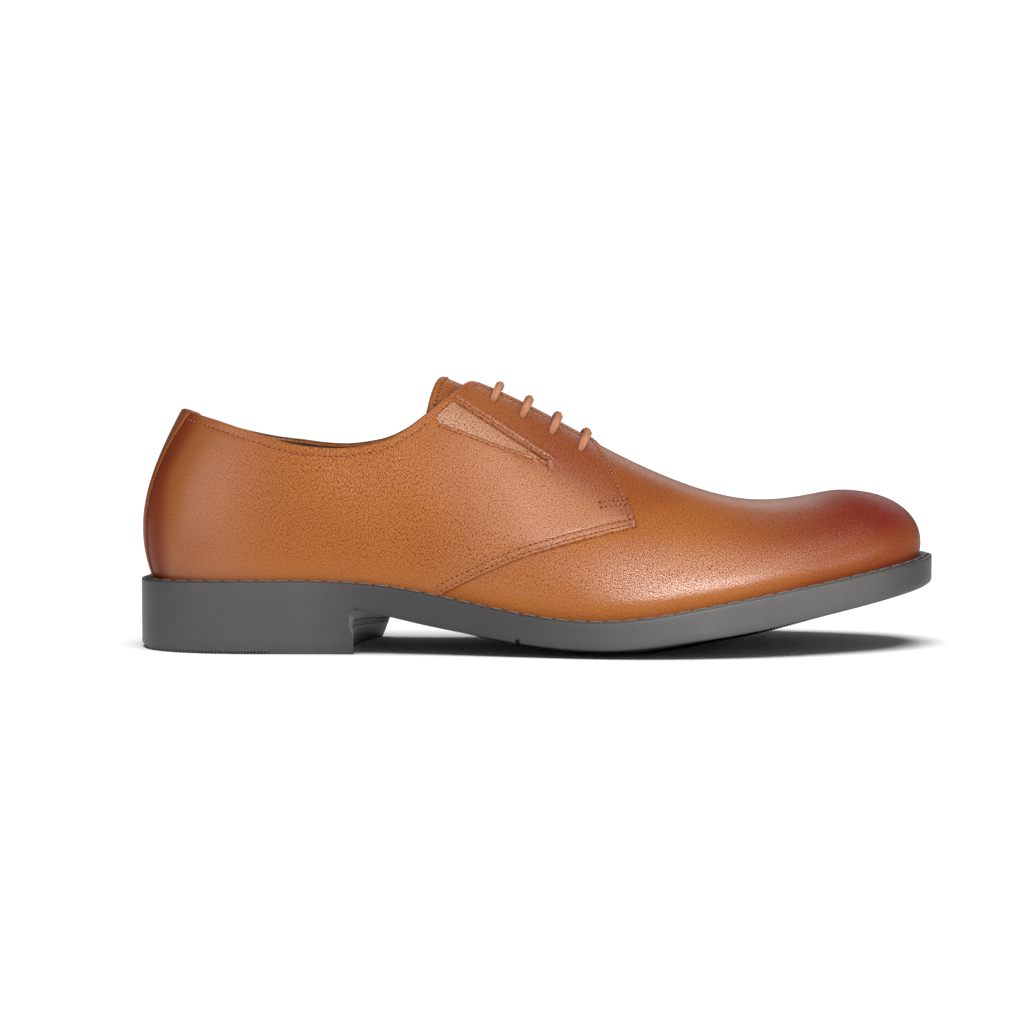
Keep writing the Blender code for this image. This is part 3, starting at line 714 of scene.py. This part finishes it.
mesh = cut_leather([outline, windows[-1], windows[1], *holes], insets, quarter_height)
quarters = calf_piece("quarters_leather", mesh, "tan_quarter_leather", quarter_burnish, quarter_polish)
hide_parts("quarters")

# Collar fold. The quarters and the lining are folded together along the topline and down the facings,
# so the edge is a soft roll of leather.
def roll(path, thickness):
    """Rings of leather rolled over an edge, from the outside of the quarter to the lining. More leather on top
    of it adds that thickness, which runs out at the ends of the edge."""
    line = spaced(path, 0.8)
    base, normal, out = wall(*line.T), wall_frame(*line.T)[2], -left_of(line)
    run = 0.8 * np.arange(len(line))
    more = thickness * rounded(np.minimum(run, run[::-1]), 1.6)[:, None]
    lined = wall_thickness + 0.3
    middle, radius = (QUARTER - lined + more) / 2, (QUARTER + lined + more) / 2
    rings = [base - 0.8 * out + (QUARTER + more - 0.03) * normal]
    rings += [base + (middle + radius * np.cos(a)) * normal + (ROLL_REACH + more) * np.sin(a) * out
              for a in np.linspace(0, np.pi, 11)]
    return np.stack([*rings, base - 0.4 * out - lined * normal], axis=1)


calf_piece("collar_fold", grid_mesh(roll(collar, 0.0)), "tan_quarter_leather", quarter_burnish, quarter_polish)

# Gusset panels. A piece of softer, lighter calf with a larger grain is sewn under each window, so that
# the facing can open.
def even(amount):
    """A mark that is the same all over a piece."""
    return lambda p: np.full(len(p), amount)


soft_calf = burnished_calf("soft_milled_calf", "#97603a", "#6b3016", 0.72, 0.07, 0.36)
gusset_corners = ((117.6, 95.0), (108.4, 85.8), (110.4, 81.0), (157.5, 68.4))
for side, name in ((-1, "lateral"), (1, "medial")):
    ring = [(straight(a, b, *GUSSET_GUESS, side), "hidden")
            for a, b in zip(gusset_corners, gusset_corners[1:] + gusset_corners[:1])]
    if side > 0:
        ring = [(line[::-1], edge) for line, edge in ring[::-1]]
    mesh = cut_leather([ring], {}, lambda away: 0.3 + 0 * away["hidden"], 1.4)
    calf_piece(f"gusset_{name}", mesh, "tan_quarter_leather", even(0.1), even(1.0), soft_calf, even(1.0))

# Back strip. A narrow strip of calf covers the seam at the heel, wider at the collar, where it is
# folded over the edge into the shoe.
STRIP = 0.6
StripEdge = namedtuple("StripEdge", "t half_width")
STRIP_EDGES = (StripEdge(TUCK, 8.5), StripEdge(0.25, 10.4), StripEdge(0.45, 9.8), StripEdge(0.55, 10.6),
               StripEdge(0.66, 11.8), StripEdge(0.75, 13.4), StripEdge(0.83, 15.8), StripEdge(0.92, 18.6))


def strip_height(away):
    return QUARTER - 0.05 + (STRIP + 0.05) * rounded(away["side"], 1.0) + 0.2 * ridge_at(away["side"], 1.1, 0.6)


def head_at(v):
    """Top of the quarters at a place round the heel."""
    return np.interp(v, u, head)


t = np.linspace(TUCK, 1, 200)
half = np.interp(t, [e.t for e in STRIP_EDGES], [e.half_width for e in STRIP_EDGES])
edges = []
for sign in (1, -1):
    side_line = np.stack([sign * half, t], axis=-1)
    edges.append(side_line[t <= head_at(sign * half)])
ends = edges[1][-1, 0], edges[0][-1, 0]
across_u = np.linspace(*ends, 60)
head_line = np.stack([across_u, head_at(across_u)], axis=-1)
foot_line = np.stack([np.linspace(-half[0], half[0], 30), np.full(30, TUCK)], axis=-1)
edges[0][-1], edges[1][-1] = head_line[-1], head_line[0]
ring = [(foot_line, "sole"), (edges[0], "side"), (head_line[::-1], "rolled"), (edges[1][::-1], "side")]
mesh = cut_leather([ring], {"side": (*edge_lines, 1.3)}, strip_height, 1.2)
strip = calf_piece("back_strip_leather", mesh, "tan_strip_leather", even(0.5), even(0.4))
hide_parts("back_strip")
# Its fold stops short of the lining
mesh = grid_mesh(roll(head_line[::-1], STRIP)[:, :-1])
calf_piece("back_strip_fold", mesh, "tan_strip_leather", even(0.5), even(0.4))

# Sewing. Waxed thread in a colour near the leather's lies in shallow grooves, and between the stitches a dark oval
# of painted shadow marks the needle hole.
def joined(parts):
    """Points and faces of several meshes as one."""
    faces, first = [], 0
    for points, more in parts:
        faces += [tuple(first + i for i in face) for face in more]
        first += len(points)
    return np.vstack([points for points, _ in parts]), faces


def tubes(middles, side, up, radii):
    """Closed-sided tubes, one for each stitch: rings of six points round middles[stitch, ring]."""
    turn = np.linspace(0, 2 * np.pi, 7)[:-1]
    reach = np.cos(turn)[:, None] * side[:, None, None] + np.sin(turn)[:, None] * up[:, None, None]
    points = middles[:, :, None] + np.asarray(radii)[:, None, None] * reach
    count, rings = middles.shape[:2]
    k = (np.arange(count)[:, None, None] * rings + np.arange(rings - 1)[:, None]) * 6
    a, b = k + np.arange(6), k + (np.arange(6) + 1) % 6
    return points.reshape(-1, 3), np.stack([a, b, b + 6, a + 6], axis=-1).reshape(-1, 4).tolist()


def sewn_run(spot, normal, thick, hole, reach=0.34):
    """Stitches from one spot to the next, and a low oval for the needle hole at each spot."""
    way = np.diff(spot, axis=0)
    up = normal[:-1] + np.diff(normal, axis=0) / 2
    side = unit(np.cross(up, way))
    along = 0.5 + reach * np.array([-1, -0.7, 0, 0.7, 1])
    sink = thick * np.array([-0.8, 0.0, 0.3, 0.0, -0.8])
    middles = spot[:-1, None] + along[:, None] * way[:, None] + sink[:, None] * up[:, None]
    thread = tubes(middles, side, up, thick * np.array([0.3, 0.85, 1.0, 0.85, 0.3]))
    ahead = unit(np.vstack([way, way[-1:]]))
    turn = np.linspace(0, 2 * np.pi, 9)[:-1, None, None]
    size = hole * (1 + 0.2 * np.sin(2.4 * np.arange(len(spot))))[:, None]
    rim = spot - 0.06 * normal + size * (np.cos(turn) * ahead + 0.45 * np.sin(turn) * np.cross(normal, ahead))
    oval = np.concatenate([rim, (spot + 0.08 * normal)[None]]).transpose(1, 0, 2).reshape(-1, 3)
    fans = [(9 * k + i, 9 * k + (i + 1) % 8, 9 * k + 8) for k in range(len(spot)) for i in range(8)]
    return thread, (oval, fans)


def sew(name, runs, finish, slot):
    """One piece with all the stitches of several runs and their needle holes."""
    parts = [part for run in runs for part in run]
    looks = [look for run in runs for look, (_, faces) in enumerate(run) for _ in faces]
    return make_piece(name, *joined(parts), finish, slot, looks=looks)


def stitched(path, lift, pitch=2.1, thick=0.3, hole=0.62):
    """A run of stitches along a line on the wall, on leather that high above it."""
    line = spaced(path, pitch)
    return sewn_run(skin(*line.T, np.full(len(line), lift)), wall_frame(*line.T)[2], thick, hole)


# Waxed polyester thread: dull shine, the ply too fine to draw. A pierced hole is drawn as a dark brown oval, a
# painted shadow.
waxed_thread = plain_finish("waxed_brown_thread", "#9a5c36", "#7d4626", 0.5, 0.1, 0.65, 0.3)
needle_hole_painted_shadow = plain_finish("needle_hole_shadow", "#5a2a14", "#3a1a0c", 0.4, 0.05, 0.9, 0.1)
SUNK = QUARTER - 0.12
row = moved_left(spaced(collar, 1.0), 2.4)
x = wall(*row.T)[:, 0]
ends = np.flatnonzero(np.diff((x < 109) | (x > 124)).astype(bool)) + 1
runs = [stitched(part, SUNK) for part in np.split(row, ends)[::2]]
for part in (lower[last:], lower[:first + 1]):
    for inset in LOWER_ROWS:
        row = moved_left(spaced(part, 1.0), inset)
        row = row[(row[:, 0] < front[1] - FRONT_ROW) & (row[:, 0] > front[0] + FRONT_ROW) & (row[:, 1] > 0.02)]
        runs.append(stitched(row, SUNK))
for line, corner in ((front_edges[1], foot[-1]), (front_edges[0][::-1], foot[0])):
    row = moved_left(line, FRONT_ROW)
    runs.append(stitched(row[row[:, 1] > corner + 0.02], SUNK))
    row = moved_left(line, 2 * FRONT_ROW)
    runs.append(stitched(row[(row[:, 1] > corner + 0.03) & (row[:, 1] < corner + 0.1)], QUARTER))
# A short tack, sewn back on itself, keeps the front corner down
tack = ((183.4, 56.7), (173.8, 55.7), (174.2, 53.9), (183.0, 54.9))
tack_guess = (195, 0.5)
for side in (-1, 1):
    runs += [stitched(straight(a, b, *tack_guess, side), QUARTER, 1.7, 0.44, 1.1)
             for a, b in zip(tack, tack[1:])]
    for line, edge in windows[side]:
        if edge != "fold":
            lift = QUARTER - (0.2 if edge == "facing" else 0.1)
            runs.append(stitched(moved_left(line, GUSSET_ROW), lift))
sew("upper_stitches", runs, (waxed_thread, needle_hole_painted_shadow), "tan_quarter_leather")

# Tongue. A tongue of the same calf, sewn under the vamp, runs up beneath the facings to a cut edge. Half
# width and drop give its arch at points along the instep.
Arch = namedtuple("Arch", "x z half_width drop")
TONGUE_ARCHES = (
    Arch(113.6, 103.0, 17.2, 15.0),
    Arch(118.0, 101.3, 16.8, 14.5),
    Arch(128.0, 97.2, 15.8, 12.0),
    Arch(140.0, 92.0, 15.6, 9.8),
    Arch(152.0, 85.6, 16.0, 8.0),
    Arch(164.0, 78.9, 15.5, 7.0),
    Arch(176.0, 72.4, 15.0, 6.0),
    Arch(186.0, 67.0, 14.0, 5.0),
)
TONGUE = 1.6
TONGUE_STITCH = 1.9
ARCH_ANGLE = 1.25
table = np.array(TONGUE_ARCHES)
stops = np.linspace(table[0, 0] + 1.7, table[-1, 0], 90)
arches = [stops, *(line_height(stops, [Mark(x, value) for x, value in table[:, [0, k]]]) for k in (1, 2, 3))]
slope = np.gradient(arches[1], stops)
fall_x, fall_z = slope / np.hypot(1, slope), -1 / np.hypot(1, slope)
turn = np.linspace(-ARCH_ANGLE, ARCH_ANGLE, 81)


def tongue_grid(sink):
    """Points of the tongue across its arches, sunk below its outside; its top edge bows up at the sides."""
    x, z, half, drop = (value[:, None] for value in arches)
    fall = drop * (1 - np.cos(turn)) / (1 - np.cos(ARCH_ANGLE)) + sink - 0.4 * ridge_at(x, stops[0] + 0.9, 0.9)
    down_x, down_z = fall_x[:, None], fall_z[:, None]
    y = (half - 0.6 * sink) * np.sin(turn) / np.sin(ARCH_ANGLE) + 0 * x
    bow = 1.2 * np.sin(np.pi * np.abs(turn) / ARCH_ANGLE) * ease(x, stops[0] + 12, stops[0])
    return np.stack([x + fall * down_x + bow * down_z, y, z + fall * down_z - bow * down_x], axis=-1)


def tongue_burnish(p):
    return 0.15 + 0.3 * ease(p[:, 0], 116, 122)


# The rings run up the outside, round the folded edge and down the inside
outer, inner = tongue_grid(0.0), tongue_grid(TONGUE)
bend = np.linspace(0, np.pi, 9)[1:-1]
ahead = unit(outer[0] - outer[1])
middle, half = (outer[0] + inner[0]) / 2, (outer[0] - inner[0]) / 2
fold = [middle + np.cos(a) * half + TONGUE / 2 * np.sin(a) * ahead for a in bend]
mesh = grid_mesh(np.concatenate([outer[::-1], fold, inner]))
tongue = calf_piece("tongue_leather", mesh, "tan_tongue_leather", tongue_burnish, quarter_polish)
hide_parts("tongue")
row = outer[2, 6:-6]
run = run_of(row)
spot = at_stops(np.linspace(0, run[-1], round(run[-1] / TONGUE_STITCH) + 1), run, row)
normal = -unit(np.cross(np.gradient(spot, axis=0), [0.9, 0, -0.45]))
runs = [sewn_run(spot + 0.12 * normal, normal, 0.28, 0.75)]
sew("tongue_stitches", runs, (waxed_thread, needle_hole_painted_shadow), "tan_tongue_leather")

# Sock. A thin leather sock covers the insole board and turns up a little at its edge.
rows = np.linspace(0, LAST_ROW, 200)
share = np.linspace(0, 1, 25)
ends = [beside(around(rows, side), -2.0, section_at(around(rows, side))[:, BASE_Z] + 2.6) for side in (-1, 1)]
points = ends[0][:, None] + (ends[1] - ends[0])[:, None] * share[:, None]
points[..., 2] += 1.6 * np.abs(2 * share - 1) ** 4
sock_leather = plain_finish("sock_leather", "#9a6a44", "#7d5030", 3.0, 0.15, 0.6)
sock = make_piece("sock", *grid_mesh(points), sock_leather, "insole_board")
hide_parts("insole")

# Outsole. One moulding of dark grey rubber with its heel: a bead beside the upper carries mock welt
# stitches inside a raised lip, the heel's breast is hollow, and fine ribs cross the heel and the tread.
RIB = 0.9
RIB_PITCH = 1.23
RIB_WIDTH = 0.8
NOTCH = (142.6, 144.0, 1.2)
HEEL_RIBS_END = 51.0
BREAST_ROW = 4
BREAST_HOLLOW = 5.0
BREAST_LEAN = 0.38
# The bead, its groove and the raised lip: how far in from the rim and how high
BEAD = ((3.1, 0.0), (2.85, 0.2), (2.55, 0.3), (2.2, 0.22), (2.0, -0.1), (1.9, -0.8), (1.75, -0.95), (1.55, -0.8),
        (1.35, -0.4), (1.0, -0.2), (0.5, -0.2), (0.18, -0.32), (0.03, -0.6), (0.0, -0.9))


def heel_floor(x):
    """Height of the heel's underside, bevelled at the back edge."""
    return np.maximum(0.0, 2.0 * (1 - x / 6.4))


def sole_side(u, floor, rounding):
    """Points down the side of the sole, from under the upper to a rounded lower edge on that floor."""
    top, rim = section_at(u)[BASE_Z] - 0.3, section_at(u)[RIM]
    steps = [(-2.5, top), *((rim - inset, top + rise) for inset, rise in BEAD)]
    start, end = top - 0.9, floor + 0.6 * rounding
    steps += [(rim, start + (end - start) * f) for f in (0.2, 0.4, 0.6, 0.8, 1.0)]
    steps += [(rim - 0.15 * rounding, floor + 0.3 * rounding), (rim - 0.4 * rounding, floor + 0.1 * rounding),
              (rim - rounding, floor)]
    return np.array([beside(u, outset, z) for outset, z in steps])


def across(a, b, z, hollow=0.0):
    """Line across the sole between two ends, at height z between them."""
    share = np.array([0, 0.05, 0.12, 0.25, 0.37, 0.5, 0.63, 0.75, 0.88, 0.95, 1.0])
    line = a + (b - a) * share[:, None]
    line[:, 2] = np.interp(share, [0, 0.12, 0.88, 1.0], [a[2], z, z, b[2]])
    line[:, 0] -= hollow * 4 * share * (1 - share)
    return line


edge_rows = np.linspace(0, LAST_ROW, 1600)
edge_x = {}
for side in (-1, 1):
    u = around(edge_rows, side)
    edge_x[side] = beside(u, section_at(u)[:, RIM], 0.0)[:, 0]
rib_row, notch_row, tread_row = np.interp([HEEL_RIBS_END, *NOTCH[:2]], edge_x[-1], edge_rows)
heel_rows = np.concatenate([rib_row * np.linspace(0, 1, 50) ** 1.3, np.linspace(rib_row + 0.003, BREAST_ROW, 16)])
fore_rows = np.concatenate([np.linspace(BREAST_ROW, notch_row, 40), [notch_row + 0.003, tread_row - 0.003],
                            np.linspace(tread_row, LAST_ROW, 130)])
grids, sides = [], {}
for part, span in (("heel", heel_rows), ("fore", fore_rows)):
    for side in (-1, 1):
        u = around(span, side)
        if part == "heel":
            floor = heel_floor(beside(u, section_at(u)[:, RIM], 0.0)[:, 0])
            floor, rounding = np.where(span <= rib_row, np.maximum(floor, RIB), 0.0), np.full(len(span), 0.35)
        else:
            in_notch = (span > notch_row) & (span < tread_row)
            s = section_at(u)
            floor, rounding = s[:, EDGE_Z] + NOTCH[2] * in_notch, np.maximum(s[:, ROUNDING], 0.0)
        sides[part, side] = np.array([sole_side(*station) for station in zip(u, floor, rounding)])
    left, right = sides[part, -1], sides[part, 1]
    grids += [left, right, [[a, (a + b) / 2, b] for a, b in zip(left[:, 0], right[:, 0])]]
    hollow = BREAST_HOLLOW * ease(span, BREAST_ROW + (-0.5 if part == "heel" else 0.5), BREAST_ROW)
    tread = np.maximum(section_at(around(span, -1))[:, TREAD_Z], 0.0) + np.where(span > notch_row, RIB, 0.0)
    floor = left[:, -1, 2] if part == "heel" else tread
    grids.append([across(a, b, z, h) for a, b, z, h in zip(left[:, -1], right[:, -1], floor, hollow)])
# The breast leans forward on the medial side, and two fine grooves slope across it
breast, corner = [], []
breast_ends = around(BREAST_ROW, -1), around(BREAST_ROW, 1)
for z in np.concatenate([np.linspace(0, 5, 8)[:-1], np.linspace(5, 12, 70)[:-1], np.linspace(12, 16.5, 6)]):
    a, b = (beside(v, section_at(v)[RIM] - 0.3 * ease(z, 0.35, 0.0), z) for v in breast_ends)
    line = across(a, b, z, BREAST_HOLLOW)
    share = (line[:, 1] - a[1]) / (b[1] - a[1])
    groove = 10.9 - 3.3 * share
    line[1:-1, 0] -= 0.8 * (ridge_at(z, groove, 0.28) + ridge_at(z, groove - 1.3, 0.28))[1:-1]
    line[:, 0] += BREAST_LEAN * z * share**2
    breast.append(line)
    corner.append([b, line[-1]])
grids += [breast, corner]


def rib_line(x, inset, heel):
    """Outside of a rib across the sole at x, or that far inside it."""
    ends = []
    for side in (-1, 1):
        u = around(np.interp(x, edge_x[side], edge_rows), side)
        s = section_at(u)
        if heel:
            ends.append([beside(u, s[RIM] - 0.02 - inset, z) for z in (RIB + 0.3, heel_floor(x) + inset)])
        else:
            ends.append([beside(u, s[RIM] - s[ROUNDING] - inset, s[EDGE_Z] + inset)])
    middle = across(ends[0][-1], ends[1][-1], (heel_floor(x) if heel else max(s[TREAD_Z], 0.0)) + inset)
    if heel:
        return np.vstack([ends[0], middle[1:-1], ends[1][::-1]])
    middle[[2, -3], 2] += RIB - inset
    return middle[2:-2]


for start, end, heel in ((6.9, HEEL_RIBS_END - 0.6, True), (NOTCH[1] + 0.4, 288, False)):
    for x in np.arange(start, end, RIB_PITCH):
        corners = (x, RIB), (x, 0), (x + RIB_WIDTH, 0), (x + RIB_WIDTH, RIB)
        grids.append([rib_line(*corner, heel) for corner in corners])
grids.append([rib_line(x, 0, True) for x in np.linspace(3.4, 6.4, 6)] + [rib_line(6.4, RIB, True)])
points, faces = joined([grid_mesh(grid) for grid in grids])


def sole_dust(p):
    """Painted light and shade: paler on the heel and forward of the ball, darker in the waist and round the tip."""
    return 0.1 + 0.5 * ease(p[:, 0], 95, 60) + 0.9 * ease(p[:, 0], 130, 215) * ease(p[:, 0], 302, 272)


grey_rubber = bare_material("grey_rubber_painted_light")
# Moulded rubber: dark grey and dull, with the faint specks of a mould, and painted light and shade: paler on the
# heel and forward of the ball, darker in the waist
place = add_node(grey_rubber, "TexCoord").outputs["Object"]
cloud = add_node(grey_rubber, "TexNoise", {"Vector": place, "Scale": 1 / (14 * MM), "Detail": 5.0})
specks = add_node(grey_rubber, "TexNoise", {"Vector": place, "Scale": 1 / (0.5 * MM), "Detail": 2.0})
speckled = add_node(grey_rubber, "Math", {0: cloud, 1: specks}, operation="MULTIPLY")
tone = add_node(grey_rubber, "MapRange", {"Value": speckled, "From Min": 0.1, "From Max": 0.4, "To Min": 0.7})
dust_mark = add_node(grey_rubber, "Attribute", attribute_name="dust").outputs["Fac"]
dusty = add_node(grey_rubber, "Math", {0: tone, 1: dust_mark}, operation="MULTIPLY", use_clamp=True)
dye = add_node(grey_rubber, "Mix", {0: dusty, 6: to_linear("#232222"), 7: to_linear("#484746")}, data_type="RGBA")
bump = add_node(grey_rubber, "Bump", {"Height": specks, "Distance": 0.06 * MM, "Strength": 0.6})
surface = add_node(grey_rubber, "BsdfPrincipled", {"Base Color": dye.outputs[2], "Roughness": 0.45,
                   "Specular IOR Level": 0.4, "Normal": bump})
add_node(grey_rubber, "OutputMaterial", {0: surface})
outsole = make_piece("moulded_outsole", points, faces, grey_rubber, "grey_rubber", weld=True, dust=sole_dust)
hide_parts("outsole")

# Mock welt stitches. Long raised stitches are moulded on the bead and picked out in a paler grey.
WELT_STITCH = 6.2
welt_u = np.linspace(0, KNOT[-1], round(KNOT[-1] / WELT_STITCH) + 1)
s = section_at(welt_u)
spot = beside(welt_u, s[:, RIM] - 2.1, s[:, BASE_Z] - 0.2)
away = unit(beside(welt_u, s[:, RIM], s[:, BASE_Z]) - beside(welt_u, 0, s[:, BASE_Z]))
normal = 0.8 * away + np.array([0, 0, 0.6])
# Painted rubber: pale and matt, thin enough at its edges to show the grey below
welt_paint = plain_finish("pale_welt_paint", "#7d7166", "#1c1917", 0.9, 0.1, 0.7)
welt_shadow = plain_finish("welt_hole_shadow", "#262322", "#171514", 0.5, 0.05, 0.9, 0.1)
sew("welt_stitches", [sewn_run(spot, normal, 0.3, 0.5, 0.42)], (welt_paint, welt_shadow), "grey_rubber")

# Laces. A round waxed cotton lace, braided, crosses the throat in four bars and goes down through the
# holes of the facings.
LACE_RADIUS = 1.6
LACE_LIFT = 3.25
BRAID_TURN = 4.4


def lace_half(bar, side):
    """Half of a lace bar, from inside its hole to the middle of the throat."""
    start = skin(around(bar.hole_row, -1), bar.hole_t, LACE_LIFT)[0]
    end = section_at(around(bar.crown_row, -1))[TOP_X]
    rows = np.linspace(bar.hole_row - 0.4, bar.crown_row + 0.4, 80)
    points = []
    for share in np.linspace(0, 1, 24):
        t = bar.hole_t + (1 - bar.hole_t) * share
        x = start + (end - start) * np.sin(share * np.pi / 2)
        row = np.interp(x, skin(around(rows, side), t, LACE_LIFT)[:, 0], rows)
        lift = LACE_LIFT - 5.5 * ease(share, 0.22, 0.0) - 2.2 * ease(share, 0.4, 1.0)
        points.append(skin(around(row, side), t, lift))
    return np.array(points)


def lace_tube(path):
    """A braided tube along a path: two families of strands that cross."""
    run = run_of(path)
    stops = np.arange(0, run[-1], 0.3)
    centre = at_stops(stops, run, path)
    for _ in range(4):
        centre[1:-1] = (centre[:-2] + 2 * centre[1:-1] + centre[2:]) / 4
    way = unit(np.gradient(centre, axis=0))
    side = unit(np.cross(way, [1.0, 0.0, 0.0]))
    up = np.cross(side, way)
    turn = np.linspace(0, 2 * np.pi, 33)[None, :]
    twist = 2 * np.pi * stops[:, None] / BRAID_TURN
    radius = LACE_RADIUS - 0.12 + 0.26 * np.cos(4 * turn + 4 * twist) * np.cos(4 * turn - 4 * twist)
    ring = radius[..., None] * (np.cos(turn)[..., None] * side[:, None] + np.sin(turn)[..., None] * up[:, None])
    return centre[:, None] + ring


# Waxed cotton: dull brown-pink with a fine fibre
waxed_cotton = plain_finish("waxed_cotton_braid", "#b9835f", "#74402a", 0.45, 0.2, 0.7, 0.3)
for number, bar in enumerate(LACES, start=1):
    lateral, medial = (lace_half(bar, side) for side in (-1, 1))
    tube = lace_tube(np.vstack([lateral[:-1], (lateral[-1:] + medial[-1:]) / 2, medial[-2::-1]]))
    lace = make_piece(f"lace_braid_{number}", *grid_mesh(tube), waxed_cotton, "tan_lace", weld=True)
    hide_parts(f"lace_{number}")

# Floor, light and camera. White paper has a soft overhead light of its own. The shoe has a large softbox in
# front of it, smaller ones at its toe, top and heel, and a low strip for the gloss above the sole. The camera
# stands a metre away, a little above the tongue.
floor_mesh = bpy.data.meshes.new("paper_floor")
floor_mesh.from_pydata([(-3, -3, 0), (3, -3, 0), (3, 3, 0), (-3, 3, 0)], [], [(0, 1, 2, 3)])
floor = add_object("paper_floor", floor_mesh)
floor.location.z = -0.00005
# White studio paper: matt, very faintly mottled
floor_mesh.materials.append(plain_finish("white_studio_paper", "#ffffff", "#fafafa", 60.0, 0.02, 0.9, 0.1))


def add_light(name, kind, place, aim, lit, energy, **settings):
    """Adds a light at a place, aimed at another, both in metres, that falls on one collection only."""
    light = bpy.data.lights.new(name, kind)
    light.energy = energy
    for setting, value in settings.items():
        setattr(light, setting, value)
    made = add_object(name, light)
    made.location = place
    made.rotation_euler = (Vector(aim) - Vector(place)).to_track_quat("-Z", "Y").to_euler()
    made.light_linking.receiver_collection = lit
    made.visible_camera = False


# The sky is a light on the paper and the softboxes are lights on the shoe
paper = bpy.data.collections.new("paper")
paper.objects.link(floor)
add_light("overhead_sky", "SUN", (0, -0.3, 2), (0, 0, 0), paper, 3.4, angle=0.8)
for name, place, aim, watts, shape, width, height in (
        ("front_softbox", (0.24, -0.86, 0.86), (0, 0, 0.06), 12, "RECTANGLE", 1.28, 0.97),
        ("low_strip", (0.17, -0.5, 0.18), (0.05, 0, 0.03), 2.1, "RECTANGLE", 0.36, 0.09),
        ("toe_softbox", (0.62, -0.42, 0.13), (0.11, 0, 0.03), 0.9, "RECTANGLE", 0.4, 0.22),
        ("top_softbox", (0.1, -0.2, 1.2), (0, 0, 0), 3.5, "DISK", 0.8, 0.8),
        ("heel_softbox", (-0.67, -0.74, 0.26), (-0.12, 0, 0.06), 2.4, "RECTANGLE", 0.73, 0.5)):
    add_light(name, "AREA", place, aim, pieces, watts, shape=shape, size=width, size_y=height)
bpy.data.objects["top_softbox"].visible_glossy = False
world = bpy.data.worlds.new("white_studio")
bpy.context.scene.world = world
world.use_nodes = True
background = world.node_tree.nodes["Background"]
background.inputs["Color"].default_value = (1, 1, 1, 1)
# The shoe's gloss mirrors the white backdrop behind it, which the camera sees burnt out
way = add_node(world, "SeparateXYZ", {0: add_node(world, "TexCoord").outputs["Generated"]})
back = add_node(world, "MapRange", {"Value": way.outputs["Y"], "From Min": 0.5, "From Max": 0.85})
high = add_node(world, "MapRange", {"Value": way.outputs["Z"], "From Min": 0.2, "From Max": 0.5})
right = add_node(world, "MapRange", {"Value": way.outputs["X"], "From Min": -0.25, "From Max": 0.05,
                 "To Max": 2.2})
tall = add_node(world, "Math", {0: back, 1: high}, operation="MULTIPLY")
behind = add_node(world, "Math", {0: tall, 1: right}, operation="MULTIPLY")
ray = add_node(world, "LightPath")
mirrored = add_node(world, "Math", {0: behind, 1: ray.outputs["Is Glossy Ray"], 2: 0.15},
                    operation="MULTIPLY_ADD")
strength = add_node(world, "Math", {0: mirrored, 1: ray.outputs["Is Camera Ray"]}, operation="ADD")
world.node_tree.links.new(strength.outputs[0], background.inputs["Strength"])

CAMERA_PLACE = np.array([141.4, -1000, 110])
CAMERA_TILT = 3.391
camera_data = bpy.data.cameras.new("camera")
camera_data.lens = 92.13
camera_data.sensor_width = 36
camera = add_object("camera", camera_data)
camera.location = (CAMERA_PLACE - CENTRE) * MM
camera.rotation_euler = np.radians([90 - CAMERA_TILT, 0, 0])
bpy.context.scene.camera = camera
bpy.context.scene.view_settings.view_transform = "Standard"
bpy.context.scene.cycles.use_denoising = True
bpy.context.scene.cycles.denoising_prefilter = "NONE"
